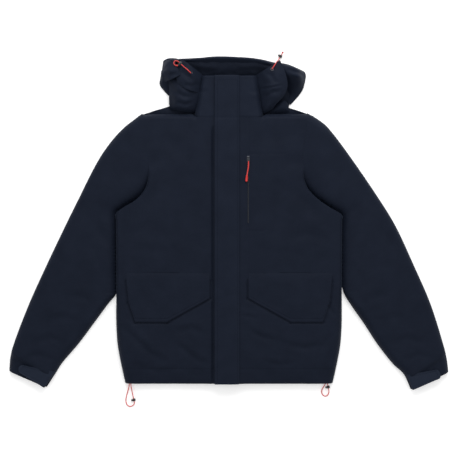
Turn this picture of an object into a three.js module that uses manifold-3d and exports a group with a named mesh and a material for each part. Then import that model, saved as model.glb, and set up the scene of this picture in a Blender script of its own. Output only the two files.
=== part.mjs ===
// Foul weather jacket, laid on its back on a flat surface with the front zip closed.
// Millimetres, +Z up from the surface. +X is the wearer's left, +Y runs from the hem to the hood.
// The origin is on the surface, under the zip, half way between the cuffs and the hood's top edge.
// Cloth pieces are thin closed solids: flat plates for the layers that lie on the surface, and
// thickened sheets for the layers that arch over the space inside the jacket.
import * as THREE from "three";
import Module from "manifold-3d";
import { mergeVertices } from "three/addons/utils/BufferGeometryUtils.js";

const wasm = await Module();
wasm.setup();

// ---------------------------------------------------------------- driving dimensions
// Overall garment
const HEM_Y = -421; // the hem, below the origin
const BODY_LENGTH = 700; // hem to the neck seam at the front
const ARMPIT_DROP = 249; // neck seam down to the armpit
const ARMHOLE = 208; // the armhole's height, laid flat
const HEM_TAPER = 175; // the lowest part of the body, which narrows to the hem
const CHEST_HALF = 296; // half the chest width, laid flat
const HEM_HALF = 275; // half the hem width
const SLEEVE_DROP = 418; // armpit down to the sleeve's end, along Y
const SLEEVE_REACH = 286; // side of the body out to the cuff's outer corner, along X
const CUFF_WIDTH = 103; // the cuff's opening edge, laid flat
const COLLAR_HEIGHT = 111;
const COLLAR_BASE_HALF = 90;
const COLLAR_TOP_HALF = 74;
const HOOD_BEYOND_COLLAR = 50; // how far the hood lies past the collar's top edge
const HOOD_LEFT_REACH = 204;
const HOOD_RIGHT_REACH = 186;

// Cloth and the space inside
const CLOTH = 2.4; // outer shell, with its facing
const LINING = 0.8;
const LOFT = 24; // from the back layer up to the underside of the front layer
const CUFF_LOFT = 15;
const EDGE_ROLL = 20; // radius of the roll at a closed side
const GAP = 0.4; // between pieces that lie on each other

// Front closure
const ZIP_X = -5; // the zip's middle
const ZIP_OPENING = 16; // between the two front edges
const ZIP_TAPE_WIDTH = 14;
const ZIP_TAPE = 1.0;
const CHAIN_WIDTH = 6;
const CHAIN_DEPTH = 3.4;
const FLAP_SEWN_X = 27.4; // the storm flap's sewn edge
const FLAP_WIDTH = 65;
const FLAP_LIFT = 2.9; // the front's top face up to the flap's underside

// Chest pocket
const CHEST_ZIP_X = 50.5;
const CHEST_ZIP_DROP = 101; // below the neck seam
const CHEST_ZIP_LENGTH = 177;
const CHEST_SLOT = 10;
const CHEST_CHAIN_WIDTH = 4;

// Hand pockets
const POCKET_FLAP_RISE = 293; // the flap's sewn edge, above the hem
const POCKET_FLAP_DROP = 129;
const POCKET_INNER_X = 51;
const POCKET_BAG_DROP = 200;
const POCKET_MOUTH = 7; // the slit under the flap, from its upper to its lower lip
const BAG_HOLLOW = 4.6; // inside a pocket bag, front to back
const BAG_CLOTH = 0.6;

// Elastic cord, eyelets and cord locks
const CORD = 2.4;
const LOCK = {
  along: 8, press: 8.8, high: 7.4, hole: 3.2, holeUp: 1.5,
  bore: 5.4, stem: 5, head: 6.2, travel: 2,
};
const TUNNEL = { reach: 269, deep: 16, wall: 1.2, hollow: 4.8, slot: 9 };

// ---------------------------------------------------------------- levels above the surface
const BACK_TOP = CLOTH;
const FRONT_UNDER = BACK_TOP + 0.7 + LOFT;
const FRONT_TOP = FRONT_UNDER + CLOTH;
const FLAP_UNDER = FRONT_TOP + FLAP_LIFT;
const FLAP_TOP = FLAP_UNDER + CLOTH;
const TAPE_TOP = FRONT_UNDER - GAP;
const TAPE_UNDER = TAPE_TOP - ZIP_TAPE;
const CHAIN_MIDDLE = (TAPE_TOP + TAPE_UNDER) / 2;
const CHAIN_TOP = CHAIN_MIDDLE + CHAIN_DEPTH / 2;
const CHAIN_UNDER = CHAIN_MIDDLE - CHAIN_DEPTH / 2;
const INNER_FLAP_TOP = CHAIN_UNDER - GAP;
const INNER_FLAP_UNDER = INNER_FLAP_TOP - 1.0;
const BAG_DEPTH = BAG_HOLLOW + 2 * BAG_CLOTH;
const BAG_TOP = TAPE_UNDER - GAP;
const FRONT_LINING_TOP = BAG_TOP - BAG_DEPTH - GAP;
const SEAM_Z = BACK_TOP + 0.6; // where an arched sheet comes down to the back layer

const NECK_Y = HEM_Y + BODY_LENGTH;
const COLLAR_TOP = NECK_Y + COLLAR_HEIGHT;
const HOOD_TOP = COLLAR_TOP + HOOD_BEYOND_COLLAR;
const ARMPIT_Y = NECK_Y - ARMPIT_DROP;
const CHEST_ZIP_TOP = NECK_Y - CHEST_ZIP_DROP;
const POCKET_FLAP_TOP = HEM_Y + POCKET_FLAP_RISE;
const SHOULDER_Y = NECK_Y + 5; // ridge of the front shoulder
const FOLD_X = CHEST_HALF + 3; // the sleeve folds up along this line
const FOLD_TOP_Y = ARMPIT_Y + ARMHOLE;
const SIDES = [["right", -1], ["left", 1]];

// ---------------------------------------------------------------- materials
const paint = (color, roughness, metalness = 0) =>
  new THREE.MeshStandardMaterial({ color, roughness, metalness });
const shellCloth = paint(0x141c30, 0.8);
const liningCloth = paint(0x1a2036, 0.9);
const tapeCloth = paint(0x10141f, 0.85);
const zipPlastic = paint(0x14161d, 0.45);
const hookPile = paint(0x0f1218, 0.95);
const redCord = paint(0xd8323c, 0.7);
const lockPlastic = paint(0x2a2322, 0.4);
const eyeletMetal = paint(0x1c1d22, 0.35, 0.8);

// ---------------------------------------------------------------- solids
const jacket = new THREE.Group();

function add(name, geometry, material) {
  const mesh = new THREE.Mesh(geometry, material);
  mesh.name = name;
  jacket.add(mesh);
  return mesh;
}

function volumeOf(triangles) {
  return triangles.reduce((sum, [a, b, c]) => sum + a.dot(new THREE.Vector3().crossVectors(b, c)), 0);
}

function fromTriangles(triangles) {
  const outward = volumeOf(triangles) > 0;
  const ordered = triangles.map(([a, b, c]) => (outward ? [a, b, c] : [a, c, b]));
  return new THREE.BufferGeometry().setFromPoints(ordered.flat());
}

// Closes the space between two grids of points that have the same rows and columns, with a wall
// round the outside and round each cell that is left open.
function between(upper, lower, open = () => false) {
  const triangles = [];
  const quad = (a, b, c, d) => triangles.push([a, b, c], [a, c, d]);
  const filled = (i, j) => i >= 0 && j >= 0 && i < upper.length - 1 && j < upper[0].length - 1 && !open(i, j);
  for (let i = 0; i < upper.length - 1; i++) {
    for (let j = 0; j < upper[0].length - 1; j++) {
      if (!filled(i, j)) continue;
      const [a, b, c, d] = [[i, j], [i, j + 1], [i + 1, j + 1], [i + 1, j]];
      const pick = (grid, [row, column]) => grid[row][column];
      quad(...[a, b, c, d].map((at) => pick(upper, at)));
      quad(...[a, d, c, b].map((at) => pick(lower, at)));
      const sides = [[a, b, i - 1, j], [b, c, i, j + 1], [c, d, i + 1, j], [d, a, i, j - 1]];
      for (const [from, to, row, column] of sides) {
        if (filled(row, column)) continue;
        quad(pick(upper, to), pick(upper, from), pick(lower, from), pick(lower, to));
      }
    }
  }
  return fromTriangles(triangles);
}

// A grid of points moved outwards, along its own upward normals.
function raised(rows, thickness) {
  const at = (i, j) =>
    rows[Math.min(Math.max(i, 0), rows.length - 1)][Math.min(Math.max(j, 0), rows[0].length - 1)];
  return rows.map((row, i) =>
    row.map((point, j) => {
      const along = at(i + 1, j).clone().sub(at(i - 1, j));
      const across = at(i, j + 1).clone().sub(at(i, j - 1));
      const normal = along.cross(across).normalize();
      return point.clone().addScaledVector(normal, normal.z < 0 ? -thickness : thickness);
    }),
  );
}

const sheet = (rows, thickness, open) => between(raised(rows, thickness), rows, open);

// A flat plate with an outline of [x, y] points.
function plate(outline, under, top) {
  const shape = new THREE.Shape(outline.map(([x, y]) => new THREE.Vector2(x, y)));
  return new THREE.ExtrudeGeometry(shape, { depth: top - under, bevelEnabled: false }).translate(0, 0, under);
}

function block(x0, x1, y0, y1, z0, z1) {
  const middle = [(x0 + x1) / 2, (y0 + y1) / 2, (z0 + z1) / 2];
  return new THREE.BoxGeometry(Math.abs(x1 - x0), Math.abs(y1 - y0), Math.abs(z1 - z0)).translate(...middle);
}

function solid(geometry) {
  const bare = geometry.clone().deleteAttribute("normal").deleteAttribute("uv");
  const merged = mergeVertices(bare.index ? bare.toNonIndexed() : bare, 1e-4);
  const triVerts = new Uint32Array(merged.index.array);
  return new wasm.Manifold(
    new wasm.Mesh({ numProp: 3, vertProperties: merged.attributes.position.array, triVerts }),
  );
}

function cut(geometry, ...tools) {
  const mesh = tools.reduce((left, tool) => left.subtract(solid(tool)), solid(geometry)).getMesh();
  const made = new THREE.BufferGeometry();
  made.setAttribute("position", new THREE.BufferAttribute(new Float32Array(mesh.vertProperties), 3));
  return made.setIndex(new THREE.BufferAttribute(new Uint32Array(mesh.triVerts), 1)).toNonIndexed();
}

function joined(...geometries) {
  const mesh = geometries.map(solid).reduce((a, b) => a.add(b)).getMesh();
  const made = new THREE.BufferGeometry();
  made.setAttribute("position", new THREE.BufferAttribute(new Float32Array(mesh.vertProperties), 3));
  return made.setIndex(new THREE.BufferAttribute(new Uint32Array(mesh.triVerts), 1)).toNonIndexed();
}

// A round rod along a smooth route of [x, y, z] points.
function rod(points, diameter, step) {
  const curve = new THREE.CatmullRomCurve3(points.map((p) => new THREE.Vector3(...p)), false, "centripetal");
  const section = new THREE.Shape(
    Array.from({ length: 8 }, (_, i) => {
      const turn = (i / 8) * 2 * Math.PI;
      return new THREE.Vector2((Math.cos(turn) * diameter) / 2, (Math.sin(turn) * diameter) / 2);
    }),
  );
  const steps = Math.min(80, Math.max(2, Math.round(curve.getLength() / step)));
  return new THREE.ExtrudeGeometry(section, { steps, bevelEnabled: false, extrudePath: curve });
}

// ---------------------------------------------------------------- the garment's outline
// Half width of the body at a height: it narrows to the hem over the lowest part.
function bodyHalf(y) {
  const share = THREE.MathUtils.clamp((y - HEM_Y) / HEM_TAPER, 0, 1);
  return HEM_HALF + (CHEST_HALF - HEM_HALF) * Math.sin((share * Math.PI) / 2);
}

// The sleeve's edges from the fold line to the cuff, as shares of its reach and drop.
const SLEEVE_STATIONS = [
  { outer: [0, 0.503], inner: [0, -0.005] },
  { outer: [0.13, 0.37], inner: [0.001, -0.05] },
  { outer: [0.28, 0.17], inner: [0.002, -0.2] },
  { outer: [0.43, -0.05], inner: [0.004, -0.37] },
  { outer: [0.56, -0.26], inner: [0.02, -0.53] },
  { outer: [0.7, -0.48], inner: [0.17, -0.67] },
  { outer: [0.83, -0.7], inner: [0.34, -0.83] },
  { outer: [0.95, -0.9], inner: [0.49, -0.95] },
  { outer: [1, -0.957], inner: [0.555, -1.005] },
];
const sleevePoint = ([reach, drop], side) =>
  [side * (FOLD_X + reach * SLEEVE_REACH), ARMPIT_Y + drop * SLEEVE_DROP];

// The cuff's opening edge: its outer corner, then its inner corner a cuff's width away.
const CUFF_OUTER = [0.975, -0.998];
const CUFF_SLOPE = THREE.MathUtils.degToRad(25);
function cuffCorners(side) {
  const [x, y] = sleevePoint(CUFF_OUTER, side);
  return {
    outer: [x, y],
    inner: [x - side * CUFF_WIDTH * Math.cos(CUFF_SLOPE), y - CUFF_WIDTH * Math.sin(CUFF_SLOPE)],
  };
}

// ---------------------------------------------------------------- arched rows
// Points from one outline point to another, rolled down to the seam at each closed end.
const ROLL = [0, 0.15, 0.5, 1];
function archedRow([x0, y0], [x1, y1], top, { closeStart = true, closeEnd = true, middle } = {}) {
  const length = Math.hypot(x1 - x0, y1 - y0);
  const roll = Math.min(EDGE_ROLL, length * 0.3);
  const start = closeStart ? CLOTH : 0;
  const finish = length - (closeEnd ? CLOTH : 0);
  const span = finish - start;
  const lift = (share, closed) => (closed ? SEAM_Z + (top - SEAM_Z) * Math.sqrt(1 - (1 - share) ** 2) : top);
  const flat = middle ?? [start + span * 0.35, start + span * 0.65];
  const stops = [
    ...(closeStart ? ROLL : [0]).map((share) => [start + share * roll, lift(share, closeStart)]),
    ...flat.map((distance) => [distance, top]),
    ...[...ROLL].reverse().map((share) => [finish - share * roll, lift(share, closeEnd)]),
  ];
  return stops.map(([d, z]) =>
    new THREE.Vector3(x0 + ((x1 - x0) * d) / length, y0 + ((y1 - y0) * d) / length, z));
}

// ---------------------------------------------------------------- body
const NECK_BACK_Y = NECK_Y + 25;
const NECK_SIDE_Y = NECK_Y + 43;
const SHOULDER_TIP = [240, SHOULDER_Y + 2];
const CHEST_AT_TIP = 296; // the half chest that SHOULDER_TIP is drawn for
const shoulderScale = CHEST_HALF / CHEST_AT_TIP;

// The sleeve head's outer edge, from the fold line up to the shoulder's tip.
function shoulderArc(side) {
  const tip = SHOULDER_TIP[0] * shoulderScale;
  return [0, 0.35, 0.7, 1].map((t) => {
    const turn = (t * Math.PI) / 2;
    return [
      side * (tip + (FOLD_X - tip) * Math.cos(turn)),
      FOLD_TOP_Y + (SHOULDER_TIP[1] - FOLD_TOP_Y) * Math.sin(turn),
    ];
  });
}

function backPanel() {
  const half = (side) => [
    [side * HEM_HALF, HEM_Y],
    [side * bodyHalf(HEM_Y + 80), HEM_Y + 80],
    [side * CHEST_HALF, HEM_Y + HEM_TAPER],
    [side * CHEST_HALF, ARMPIT_Y],
    ...shoulderArc(side),
    [side * (COLLAR_BASE_HALF + 10), NECK_SIDE_Y],
    [side * COLLAR_BASE_HALF * 0.6, NECK_BACK_Y + 4],
  ];
  add("back_panel", plate([...half(1), ...half(-1).reverse()], 0, BACK_TOP), shellCloth);
}

// How far out the front reaches at a height, and whether it is closed there by rolling down.
function frontReach(y) {
  if (y < ARMPIT_Y) return [bodyHalf(y), true];
  if (y < FOLD_TOP_Y) return [FOLD_X - 1, false];
  const tip = SHOULDER_TIP[0] * shoulderScale;
  const rise = (y - FOLD_TOP_Y) / (SHOULDER_TIP[1] - FOLD_TOP_Y);
  return [tip + (FOLD_X - tip) * Math.sqrt(1 - rise ** 2) - 1, true];
}

// One front: open along the zip, rolled down at the side seam and over the shoulder, and open to the sleeve.
function frontPanel(name, side) {
  const edge = ZIP_X + (side * ZIP_OPENING) / 2;
  const slotX = [CHEST_ZIP_X - CHEST_SLOT / 2, CHEST_ZIP_X + CHEST_SLOT / 2];
  const slotY = [CHEST_ZIP_TOP - CHEST_ZIP_LENGTH, CHEST_ZIP_TOP];
  const mouthX = [POCKET_INNER_X + 11, CHEST_HALF - 51];
  const mouthY = [POCKET_FLAP_TOP - 1 - POCKET_MOUTH, POCKET_FLAP_TOP - 1];
  const middle = [...slotX, ...mouthX].map((x) => x - side * edge);
  const heights = [
    HEM_Y, HEM_Y + 30, HEM_Y + 80, HEM_Y + HEM_TAPER, (HEM_Y + HEM_TAPER + ARMPIT_Y) / 2, ...slotY, ...mouthY,
    ARMPIT_Y - 4, ARMPIT_Y + 6, ARMPIT_Y + 110, FOLD_TOP_Y - 6, FOLD_TOP_Y + 13, FOLD_TOP_Y + 33,
  ].sort((a, b) => a - b);
  const rows = heights.map((y) => {
    const [outer, closeEnd] = frontReach(y);
    return archedRow([edge, y], [side * outer, y], FRONT_UNDER, { closeStart: false, closeEnd, middle });
  });
  // The top edge: level with the neck seam by the collar, and rolled over the ridge beyond it.
  const tip = SHOULDER_TIP[0] * shoulderScale - CLOTH;
  const [neck, ridge] = [COLLAR_BASE_HALF + 4, COLLAR_BASE_HALF + 11];
  const near = [0, 0.25, 0.5, 0.75, 1].map((t) => THREE.MathUtils.lerp(side * edge, neck, t));
  const far = [0, 1 / 3, 2 / 3, 1].map((t) => THREE.MathUtils.lerp(ridge, tip, t));
  const topRow = (nearY, farY, farZ) => [
    ...near.map((x) => new THREE.Vector3(side * x, nearY, FRONT_UNDER)),
    ...far.map((x) =>
      new THREE.Vector3(side * x, farY, x === tip ? Math.min(farZ, SEAM_Z + LOFT * 0.5) : farZ)),
  ];
  rows.push(topRow(NECK_Y - 8, SHOULDER_Y - 4, FRONT_UNDER));
  rows.push(topRow(NECK_Y - GAP, SHOULDER_Y + 6, SEAM_Z));
  const within = (value, [low, high]) => value > low && value < high;
  const open = (i, j) => {
    const x = (side * (rows[i][j].x + rows[i][j + 1].x)) / 2;
    const y = (rows[i][j].y + rows[i + 1][j].y) / 2;
    return (within(x, mouthX) && within(y, mouthY)) || (side > 0 && within(x, slotX) && within(y, slotY));
  };
  add(name, sheet(rows, CLOTH, open), shellCloth);
}

function linings() {
  const inset = 28;
  const top = ARMPIT_Y + 225;
  const half = (side, inner) => [
    [inner, HEM_Y + 22],
    [side * (HEM_HALF - inset), HEM_Y + 22],
    [side * (CHEST_HALF - inset), HEM_Y + HEM_TAPER],
    [side * (CHEST_HALF - inset), ARMPIT_Y],
    [side * 215 * shoulderScale, top],
    [inner, top],
  ];
  const outline = [...half(1, 0), ...half(-1, 0).reverse()].filter(([x]) => x !== 0);
  add("back_lining", plate(outline, BACK_TOP + GAP, BACK_TOP + GAP + LINING), liningCloth);
  for (const [word, side] of SIDES) {
    const facing = ZIP_X + side * 30;
    const hung = plate(half(side, facing), FRONT_LINING_TOP - LINING, FRONT_LINING_TOP);
    add(`front_lining_${word}`, hung, liningCloth);
  }
}

// ---------------------------------------------------------------- collar
function collar() {
  const start = NECK_Y;
  add(
    "collar_back",
    plate(
      [
        [-COLLAR_BASE_HALF * 0.55, NECK_BACK_Y + 5 + GAP], [COLLAR_BASE_HALF * 0.55, NECK_BACK_Y + 5 + GAP],
        [COLLAR_BASE_HALF, NECK_SIDE_Y + GAP + 2], [COLLAR_TOP_HALF, COLLAR_TOP - 2],
        [-COLLAR_TOP_HALF, COLLAR_TOP - 2], [-COLLAR_BASE_HALF, NECK_SIDE_Y + GAP + 2],
      ],
      0, BACK_TOP,
    ),
    shellCloth,
  );
  for (const [word, side] of SIDES) {
    const edge = ZIP_X + (side * ZIP_OPENING) / 2;
    const rows = [0, 0.3, 0.65, 1].map((share) => {
      const half = THREE.MathUtils.lerp(COLLAR_BASE_HALF, COLLAR_TOP_HALF, share);
      const y = start + share * COLLAR_HEIGHT;
      const lie = { closeStart: false, middle: [half * 0.45] };
      return archedRow([edge, y], [side * half, y], FRONT_UNDER, lie);
    });
    add(`collar_front_${word}`, sheet(rows, CLOTH), shellCloth);
  }
}

// A narrow tape arched off the inside of the back neck, to hang the jacket by.
const LOOP = { half: 32, rise: 11, width: 6, tape: 1.2 };
function hangerLoop() {
  const y = NECK_BACK_Y - 18;
  const base = BACK_TOP + GAP;
  const rows = [-1, -0.8, -0.5, 0, 0.5, 0.8, 1].map((t) => {
    const z = base + (Math.abs(t) === 1 ? 0 : LOOP.rise * (1 - t * t) ** 0.5);
    return [new THREE.Vector3(t * LOOP.half, y, z), new THREE.Vector3(t * LOOP.half, y + LOOP.width, z)];
  });
  add("hanger_loop", sheet(rows, LOOP.tape), tapeCloth);
}

// ---------------------------------------------------------------- front zip and storm flap
const ZIP_FOOT = HEM_Y + 4;
const ZIP_HEAD = COLLAR_TOP - 8;
const SLIDER = { wide: 12, long: 16, plate: 2.2 };
function frontZip() {
  for (const [word, side] of SIDES) {
    const near = ZIP_X + side * (CHAIN_WIDTH / 2 + GAP);
    const far = ZIP_X + side * ZIP_TAPE_WIDTH;
    add(`zip_tape_${word}`, block(near, far, ZIP_FOOT, ZIP_HEAD, TAPE_UNDER, TAPE_TOP), tapeCloth);
  }
  const half = CHAIN_WIDTH / 2;
  const across = [ZIP_X - half, ZIP_X + half];
  add("zip_chain", block(...across, ZIP_FOOT + 10, ZIP_HEAD - 4, CHAIN_UNDER, CHAIN_TOP), zipPlastic);
  const box = block(...across, ZIP_FOOT, ZIP_FOOT + 9.5, CHAIN_UNDER, CHAIN_TOP + 0.8);
  add("zip_retainer_box", box, zipPlastic);
  const guard = [ZIP_X - 26, ZIP_X + 26, ZIP_FOOT, COLLAR_TOP - 12];
  add("inner_flap", block(...guard, INNER_FLAP_UNDER, INNER_FLAP_TOP), liningCloth);
}

// The slider rides over the chain between the two front edges, with its pull lying towards the hem.
function frontSlider() {
  const under = CHAIN_TOP + 0.3;
  const head = ZIP_HEAD - 6;
  const half = SLIDER.wide / 2;
  const plateTop = under + SLIDER.plate;
  const saddle = block(ZIP_X - half, ZIP_X + half, head - SLIDER.long, head, under, plateTop);
  const left = block(ZIP_X - half, ZIP_X - half + 1.8, head - SLIDER.long, head, TAPE_TOP + 0.3, plateTop);
  const right = block(ZIP_X + half - 1.8, ZIP_X + half, head - SLIDER.long, head, TAPE_TOP + 0.3, plateTop);
  add("main_slider", joined(saddle, left, right), zipPlastic);
  const pull = [[-3.5, 0], [3.5, 0], [4.5, -14], [4.5, -32], [-4.5, -32], [-4.5, -14]];
  const tab = plate(pull.map(([x, y]) => [ZIP_X + x, head - 8 + y]), plateTop + 0.2, plateTop + 1.2);
  add("main_pull", tab, zipPlastic);
}

const STRIP = { width: 16, thick: 1.1 };
function stormFlap() {
  const free = FLAP_SEWN_X - FLAP_WIDTH;
  add("storm_flap", block(free, FLAP_SEWN_X, HEM_Y, COLLAR_TOP, FLAP_UNDER, FLAP_TOP), shellCloth);
  const x0 = free + 4;
  const foot = HEM_Y + 20;
  const head = NECK_Y - 20;
  const strip = (z, thick) => block(x0, x0 + STRIP.width, foot, head, z, z + thick);
  add("flap_loop_strip", strip(FRONT_TOP + 0.3, STRIP.thick), hookPile);
  add("flap_hook_strip", strip(FLAP_UNDER - 0.3 - 0.9, 0.9), hookPile);
}

// ---------------------------------------------------------------- chest pocket
const CHEST_CHAIN_TOP = FRONT_UNDER + 1.4;
function chestPocket() {
  const foot = CHEST_ZIP_TOP - CHEST_ZIP_LENGTH;
  const half = CHEST_CHAIN_WIDTH / 2;
  const tape = [CHEST_ZIP_X - 12, CHEST_ZIP_X + 12, foot - 6, CHEST_ZIP_TOP + 6];
  add("chest_zip_tape", block(...tape, TAPE_UNDER + 0.2, TAPE_TOP), tapeCloth);
  const chain = [CHEST_ZIP_X - half, CHEST_ZIP_X + half, foot + 2, CHEST_ZIP_TOP - 2];
  add("chest_zip_chain", block(...chain, TAPE_TOP + 0.3, CHEST_CHAIN_TOP), zipPlastic);
  const stop = [CHEST_ZIP_X - half - 1.2, CHEST_ZIP_X + half + 1.2, CHEST_ZIP_TOP - 1.7, CHEST_ZIP_TOP - 0.3];
  add("chest_zip_stop", block(...stop, TAPE_TOP + 0.3, FRONT_TOP + 1), zipPlastic);
  // The bag's mouth is its side towards the front closure, under the zip.
  const bag = [CHEST_ZIP_X - 10, CHEST_ZIP_X + 120, foot - 22, CHEST_ZIP_TOP + 12];
  const hollow = [bag[0] - 5, bag[1] - BAG_CLOTH, bag[2] + BAG_CLOTH, bag[3] - BAG_CLOTH];
  add("chest_pocket_bag", cut(bagBlock(bag, 0), bagBlock(hollow, BAG_CLOTH)), liningCloth);
}

const bagBlock = (sides, inset) => block(...sides, BAG_TOP - BAG_DEPTH + inset, BAG_TOP - inset);

const CHEST_SLIDER = { wide: 7, long: 11, plate: 2.2 };
const PULL_LENGTH = 54;
function chestSlider() {
  const head = CHEST_ZIP_TOP - 4;
  const under = CHEST_CHAIN_TOP + 0.3;
  const top = under + CHEST_SLIDER.plate;
  const half = CHEST_SLIDER.wide / 2;
  const body = block(CHEST_ZIP_X - half, CHEST_ZIP_X + half, head - CHEST_SLIDER.long, head, under, top);
  const lug = block(CHEST_ZIP_X - 1.2, CHEST_ZIP_X + 1.2, head - 8, head - 3, top - 0.5, top + 3.2);
  add("chest_slider", joined(body, lug), zipPlastic);
  // A doubled cord lies from the lug towards the hem, ending in a moulded grip.
  const hang = head - 9.2;
  const z = top + 2.2;
  const sway = -5;
  const end = hang - PULL_LENGTH;
  const bend = CHEST_ZIP_X + sway * 0.7;
  const cord = [[CHEST_ZIP_X + 0.6, hang, z], [CHEST_ZIP_X, hang - 18, z], [bend, end + 16.6, z]];
  add("chest_pull_cord", rod(cord, 3.2, 6), redCord);
  const grip = [[-2.6, 16], [2.2, 16.4], [3, 1], [0.5, -0.5], [-2.4, 0.6]]
    .map(([x, y]) => [CHEST_ZIP_X + sway + x, end + y]);
  add("chest_pull_grip", plate(grip, z - 1.6, z + 1.6), redCord);
}

// ---------------------------------------------------------------- hand pockets
function handPockets() {
  const under = FRONT_TOP + 0.3;
  const foot = POCKET_FLAP_TOP - POCKET_FLAP_DROP;
  for (const [word, side] of SIDES) {
    const outline = [
      [POCKET_INNER_X, POCKET_FLAP_TOP], [CHEST_HALF - 25, POCKET_FLAP_TOP], [CHEST_HALF - 33, foot + 50],
      [CHEST_HALF - 50, foot], [CHEST_HALF - 133, foot], [POCKET_INNER_X, foot + 62],
    ].map(([x, y]) => [side * x, y]);
    add(`pocket_flap_${word}`, plate(outline, under, under + 2.2), shellCloth);
    // The bag's mouth is its upper edge, under the flap's sewn edge.
    const [near, far] = [POCKET_INNER_X + 8, CHEST_HALF - 40];
    const [low, high] = [POCKET_FLAP_TOP - POCKET_BAG_DROP, POCKET_FLAP_TOP - 1 - POCKET_MOUTH];
    const bag = bagBlock([side * near, side * far, low, high], 0);
    const inside = [side * (near + BAG_CLOTH), side * (far - BAG_CLOTH), low + BAG_CLOTH, high + 5];
    add(`hand_pocket_bag_${word}`, cut(bag, bagBlock(inside, BAG_CLOTH)), liningCloth);
  }
}

// ---------------------------------------------------------------- sleeves
// The front layer's underside comes down evenly from the body to the cuff, the last station.
const sleeveTop = (station) =>
  THREE.MathUtils.lerp(FRONT_UNDER, SEAM_Z + CUFF_LOFT, station / SLEEVE_STATIONS.length);

function sleeves() {
  for (const [word, side] of SIDES) {
    const cuff = cuffCorners(side);
    const stations = SLEEVE_STATIONS.map(({ outer, inner }) =>
      [sleevePoint(inner, side), sleevePoint(outer, side)]);
    stations.push([cuff.inner, cuff.outer]);
    const rows = stations.map(([inner, outer], i) => archedRow(inner, outer, sleeveTop(i)));
    add(`sleeve_front_${word}`, sheet(rows, CLOTH), shellCloth);
    const outline = [...stations.map(([inner]) => inner), ...stations.map(([, outer]) => outer).reverse()];
    add(`sleeve_back_${word}`, plate(outline, 0, BACK_TOP), shellCloth);
    cuffTab(word, side, cuff);
  }
}

// The tab is sewn at the sleeve's inner edge and closes with hook and loop on the cuff.
const TAB_LENGTH = 92;
function cuffTab(word, side, cuff) {
  const seam = sleevePoint(SLEEVE_STATIONS[SLEEVE_STATIONS.length - 1].inner, side);
  const outerSeam = sleevePoint(SLEEVE_STATIONS[SLEEVE_STATIONS.length - 1].outer, side);
  const cloth = sleeveTop(SLEEVE_STATIONS.length - 1) + CLOTH;
  const toward = (from, to, d) => {
    const length = Math.hypot(to[0] - from[0], to[1] - from[1]);
    return [from[0] + ((to[0] - from[0]) * d) / length, from[1] + ((to[1] - from[1]) * d) / length];
  };
  const upper = [toward(seam, outerSeam, 2), toward(seam, outerSeam, TAB_LENGTH - 2)];
  const lower = [toward(cuff.inner, cuff.outer, 2), toward(cuff.inner, cuff.outer, TAB_LENGTH - 12)];
  const under = cloth + 2.6;
  add(`cuff_tab_${word}`, plate([upper[0], upper[1], lower[1], lower[0]], under, under + 2), shellCloth);
  const mid = (a, b, t) => [a[0] + (b[0] - a[0]) * t, a[1] + (b[1] - a[1]) * t];
  const patch = [
    mid(upper[1], lower[1], 0.2), mid(upper[1], lower[1], 0.8),
    mid(lower[0], lower[1], 0.55), mid(upper[0], upper[1], 0.5),
  ];
  const centre = [(patch[0][0] + patch[2][0]) / 2, (patch[0][1] + patch[2][1]) / 2];
  const inset = patch.map((p) => mid(p, centre, 0.12));
  add(`cuff_hook_patch_${word}`, plate(inset, under - 1.2, under - 0.3), hookPile);
  add(`cuff_loop_patch_${word}`, plate(inset, cloth + 0.3, cloth + 1.1), hookPile);
}

// ---------------------------------------------------------------- hood
// Each part of the hood is a heap of folded cloth: a flat foot and a rolled top over its outline.
const HOOD_FOOT = BACK_TOP + 0.6;
const HOOD_HEIGHT = 48;
const HOOD_FOLD = 36; // the fold of the crown, along the hood's top edge
const HOOD_INSIDE = 13; // the back of the hood, lying open behind the collar
const HOOD_CLEAR = 3; // beside the collar
const HOOD_SEAM_X = 80; // the side pieces meet the back piece here, past the collar's top

// Rows of [y, inner x, outer x, height].
function heap(rows, roll) {
  const stops = [0, 0.1, 0.3, 0.5, 0.7, 0.9, 1];
  const [first, last] = [rows[0][0], rows[rows.length - 1][0]];
  const upper = rows.map(([y, inner, outer, height]) =>
    stops.map((t) => {
      const x = inner + (outer - inner) * t;
      const d = Math.min(Math.abs(x - inner), Math.abs(outer - x), y - first + 4, last - y + 4);
      const rise = Math.sqrt(1 - (1 - Math.min(1, d / roll)) ** 2);
      return new THREE.Vector3(x, y, THREE.MathUtils.lerp(HOOD_FOOT + 3, height, rise));
    }),
  );
  const lower = upper.map((row) => row.map((p) => new THREE.Vector3(p.x, p.y, HOOD_FOOT)));
  return between(upper, lower);
}

const collarHalfAt = (y) => {
  const share = THREE.MathUtils.clamp((y - NECK_Y) / COLLAR_HEIGHT, 0, 1);
  return THREE.MathUtils.lerp(COLLAR_BASE_HALF, COLLAR_TOP_HALF, share) + HOOD_CLEAR;
};

// How far up the hood, and the share of its reach there.
const HOOD_RIGHT = [
  [0.1, 0.86], [0.23, 0.845], [0.33, 0.85], [0.45, 0.95],
  [0.58, 1], [0.72, 0.985], [0.86, 0.96], [0.97, 0.93],
];
const HOOD_LEFT = [
  [0.1, 0.78], [0.23, 0.775], [0.33, 0.85], [0.45, 0.93], [0.58, 0.975],
  [0.7, 1], [0.78, 0.995], [0.84, 0.88], [0.9, 0.7],
];
function hoodSide(word, side, reach, profile) {
  const rows = profile.map(([up, out]) => {
    const y = NECK_Y + up * (HOOD_TOP - NECK_Y);
    const inner = y > COLLAR_TOP - 8 ? HOOD_SEAM_X + 0.5 : collarHalfAt(y);
    return [y, side * inner, side * reach * out, HOOD_HEIGHT];
  });
  add(`hood_side_${word}`, heap(rows, 22), shellCloth);
}

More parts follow.
